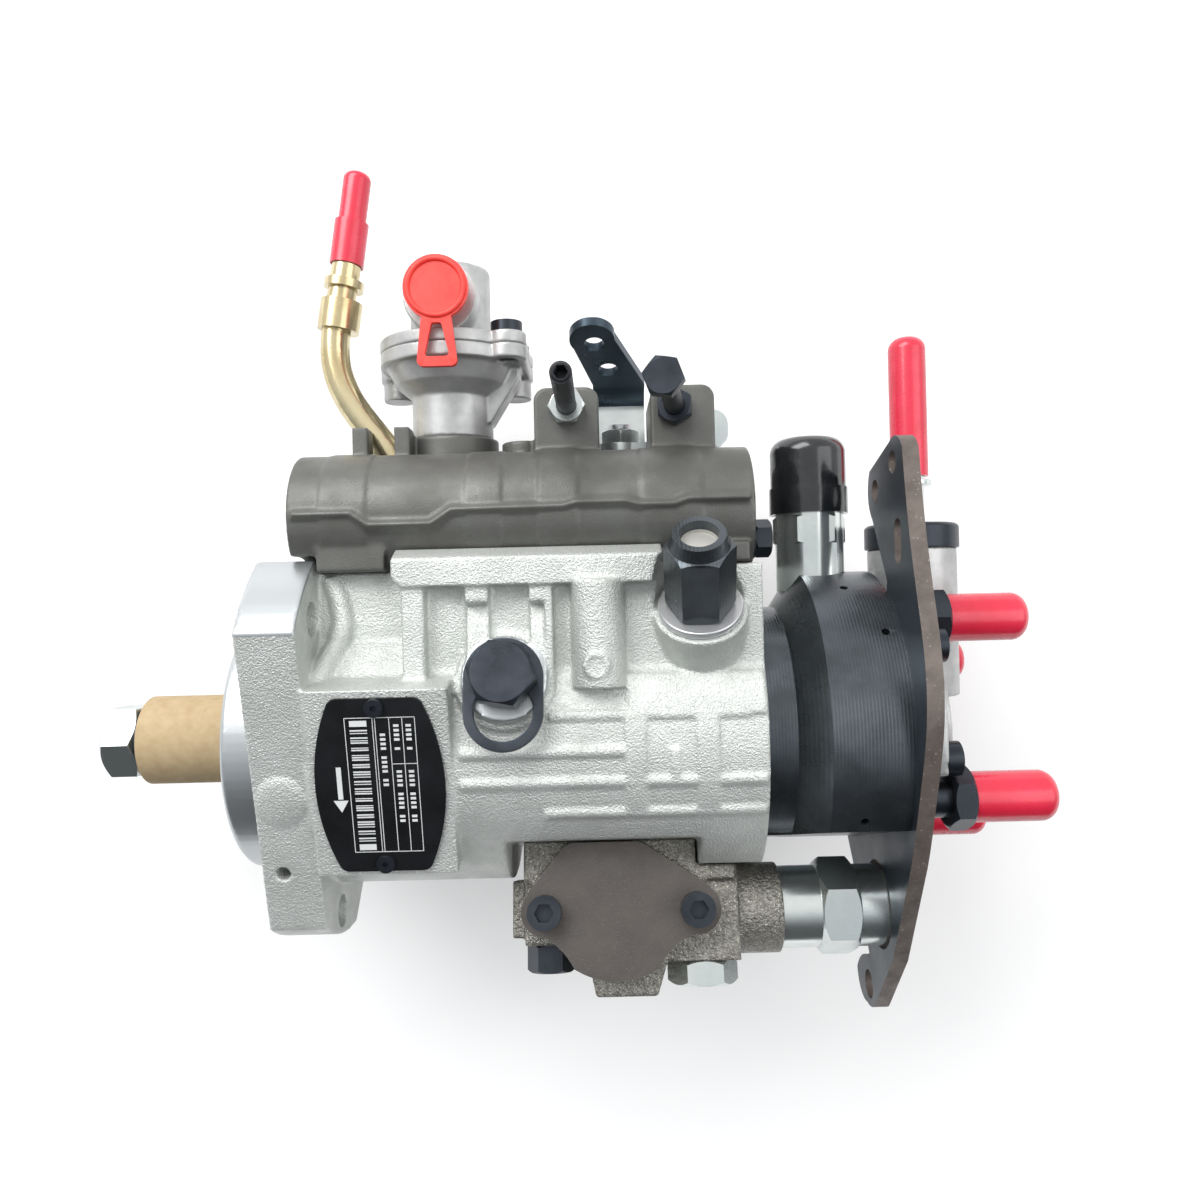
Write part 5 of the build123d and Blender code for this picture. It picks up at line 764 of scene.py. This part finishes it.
def surroundings():
    """Soft room that the camera sees as plain white; the pump sees it brighter towards the control cover."""
    world = bpy.data.worlds.new("room")
    bpy.context.scene.world = world
    world.use_nodes = True
    tree = world.node_tree
    background = tree.nodes["Background"]
    place = add(tree, "ShaderNodeTexCoord")
    split = add(tree, "ShaderNodeSeparateXYZ")
    wire(tree, place.outputs["Generated"], split.inputs[0])
    level = add(tree, "ShaderNodeMapRange", in_From_Min=-0.75, in_From_Max=0.2, in_To_Min=0.07,
                in_To_Max=0.98, interpolation_type="SMOOTHSTEP")
    wire(tree, split.outputs["Y"], level.inputs["Value"])
    cool = add(tree, "ShaderNodeMapRange", in_From_Min=-0.6, in_From_Max=0.3)
    wire(tree, split.outputs["Y"], cool.inputs["Value"])
    shade = add(tree, "ShaderNodeMix", data_type="RGBA")
    shade.inputs["A"].default_value = (0.86, 0.93, 1.0, 1)
    shade.inputs["B"].default_value = (1.0, 1.0, 1.0, 1)
    path = add(tree, "ShaderNodeLightPath")
    plain = add(tree, "ShaderNodeMath", operation="MAXIMUM")
    wire(tree, cool.outputs[0], plain.inputs[0])
    wire(tree, path.outputs["Is Camera Ray"], plain.inputs[1])
    wire(tree, plain.outputs[0], shade.inputs["Factor"])
    wire(tree, shade.outputs["Result"], background.inputs["Color"])
    strength = add(tree, "ShaderNodeMix", data_type="FLOAT", in_3=1.0)
    wire(tree, path.outputs["Is Camera Ray"], strength.inputs["Factor"])
    wire(tree, level.outputs[0], strength.inputs[2])
    wire(tree, strength.outputs[0], background.inputs["Strength"])


def lamp(name, place, size, power):
    """Soft rectangular lamp that points at the middle of the pump; places in metres, power in watts."""
    aim = (0.09, 0.02, 0.0)
    data = bpy.data.lights.new(name, "AREA")
    data.shape = "RECTANGLE"
    data.size, data.size_y = size
    data.energy = power
    light = bpy.data.objects.new(name, data)
    bpy.context.scene.collection.objects.link(light)
    light.location = place
    light.rotation_euler = (Vector(aim) - Vector(place)).to_track_quat("-Z", "Y").to_euler()


def camera():
    """View straight down on the pump, turned a little about the line of sight; its place is in metres."""
    data = bpy.data.cameras.new("camera")
    eye = bpy.data.objects.new("camera", data)
    bpy.context.scene.collection.objects.link(eye)
    data.sensor_width = 36
    data.lens = 28.35
    data.clip_start = 0.01
    eye.location = (0.100, 0.0426, 0.312)
    eye.rotation_euler = (0, 0, math.radians(-1.38))
    bpy.context.scene.camera = eye


floor()
surroundings()
lamp("window", (-0.35, 0.75, 0.75), (0.9, 0.6), 11.5)
lamp("fill", (0.75, 0.1, 0.65), (0.7, 0.7), 2.5)
camera()
bpy.context.scene.view_settings.view_transform = "Standard"
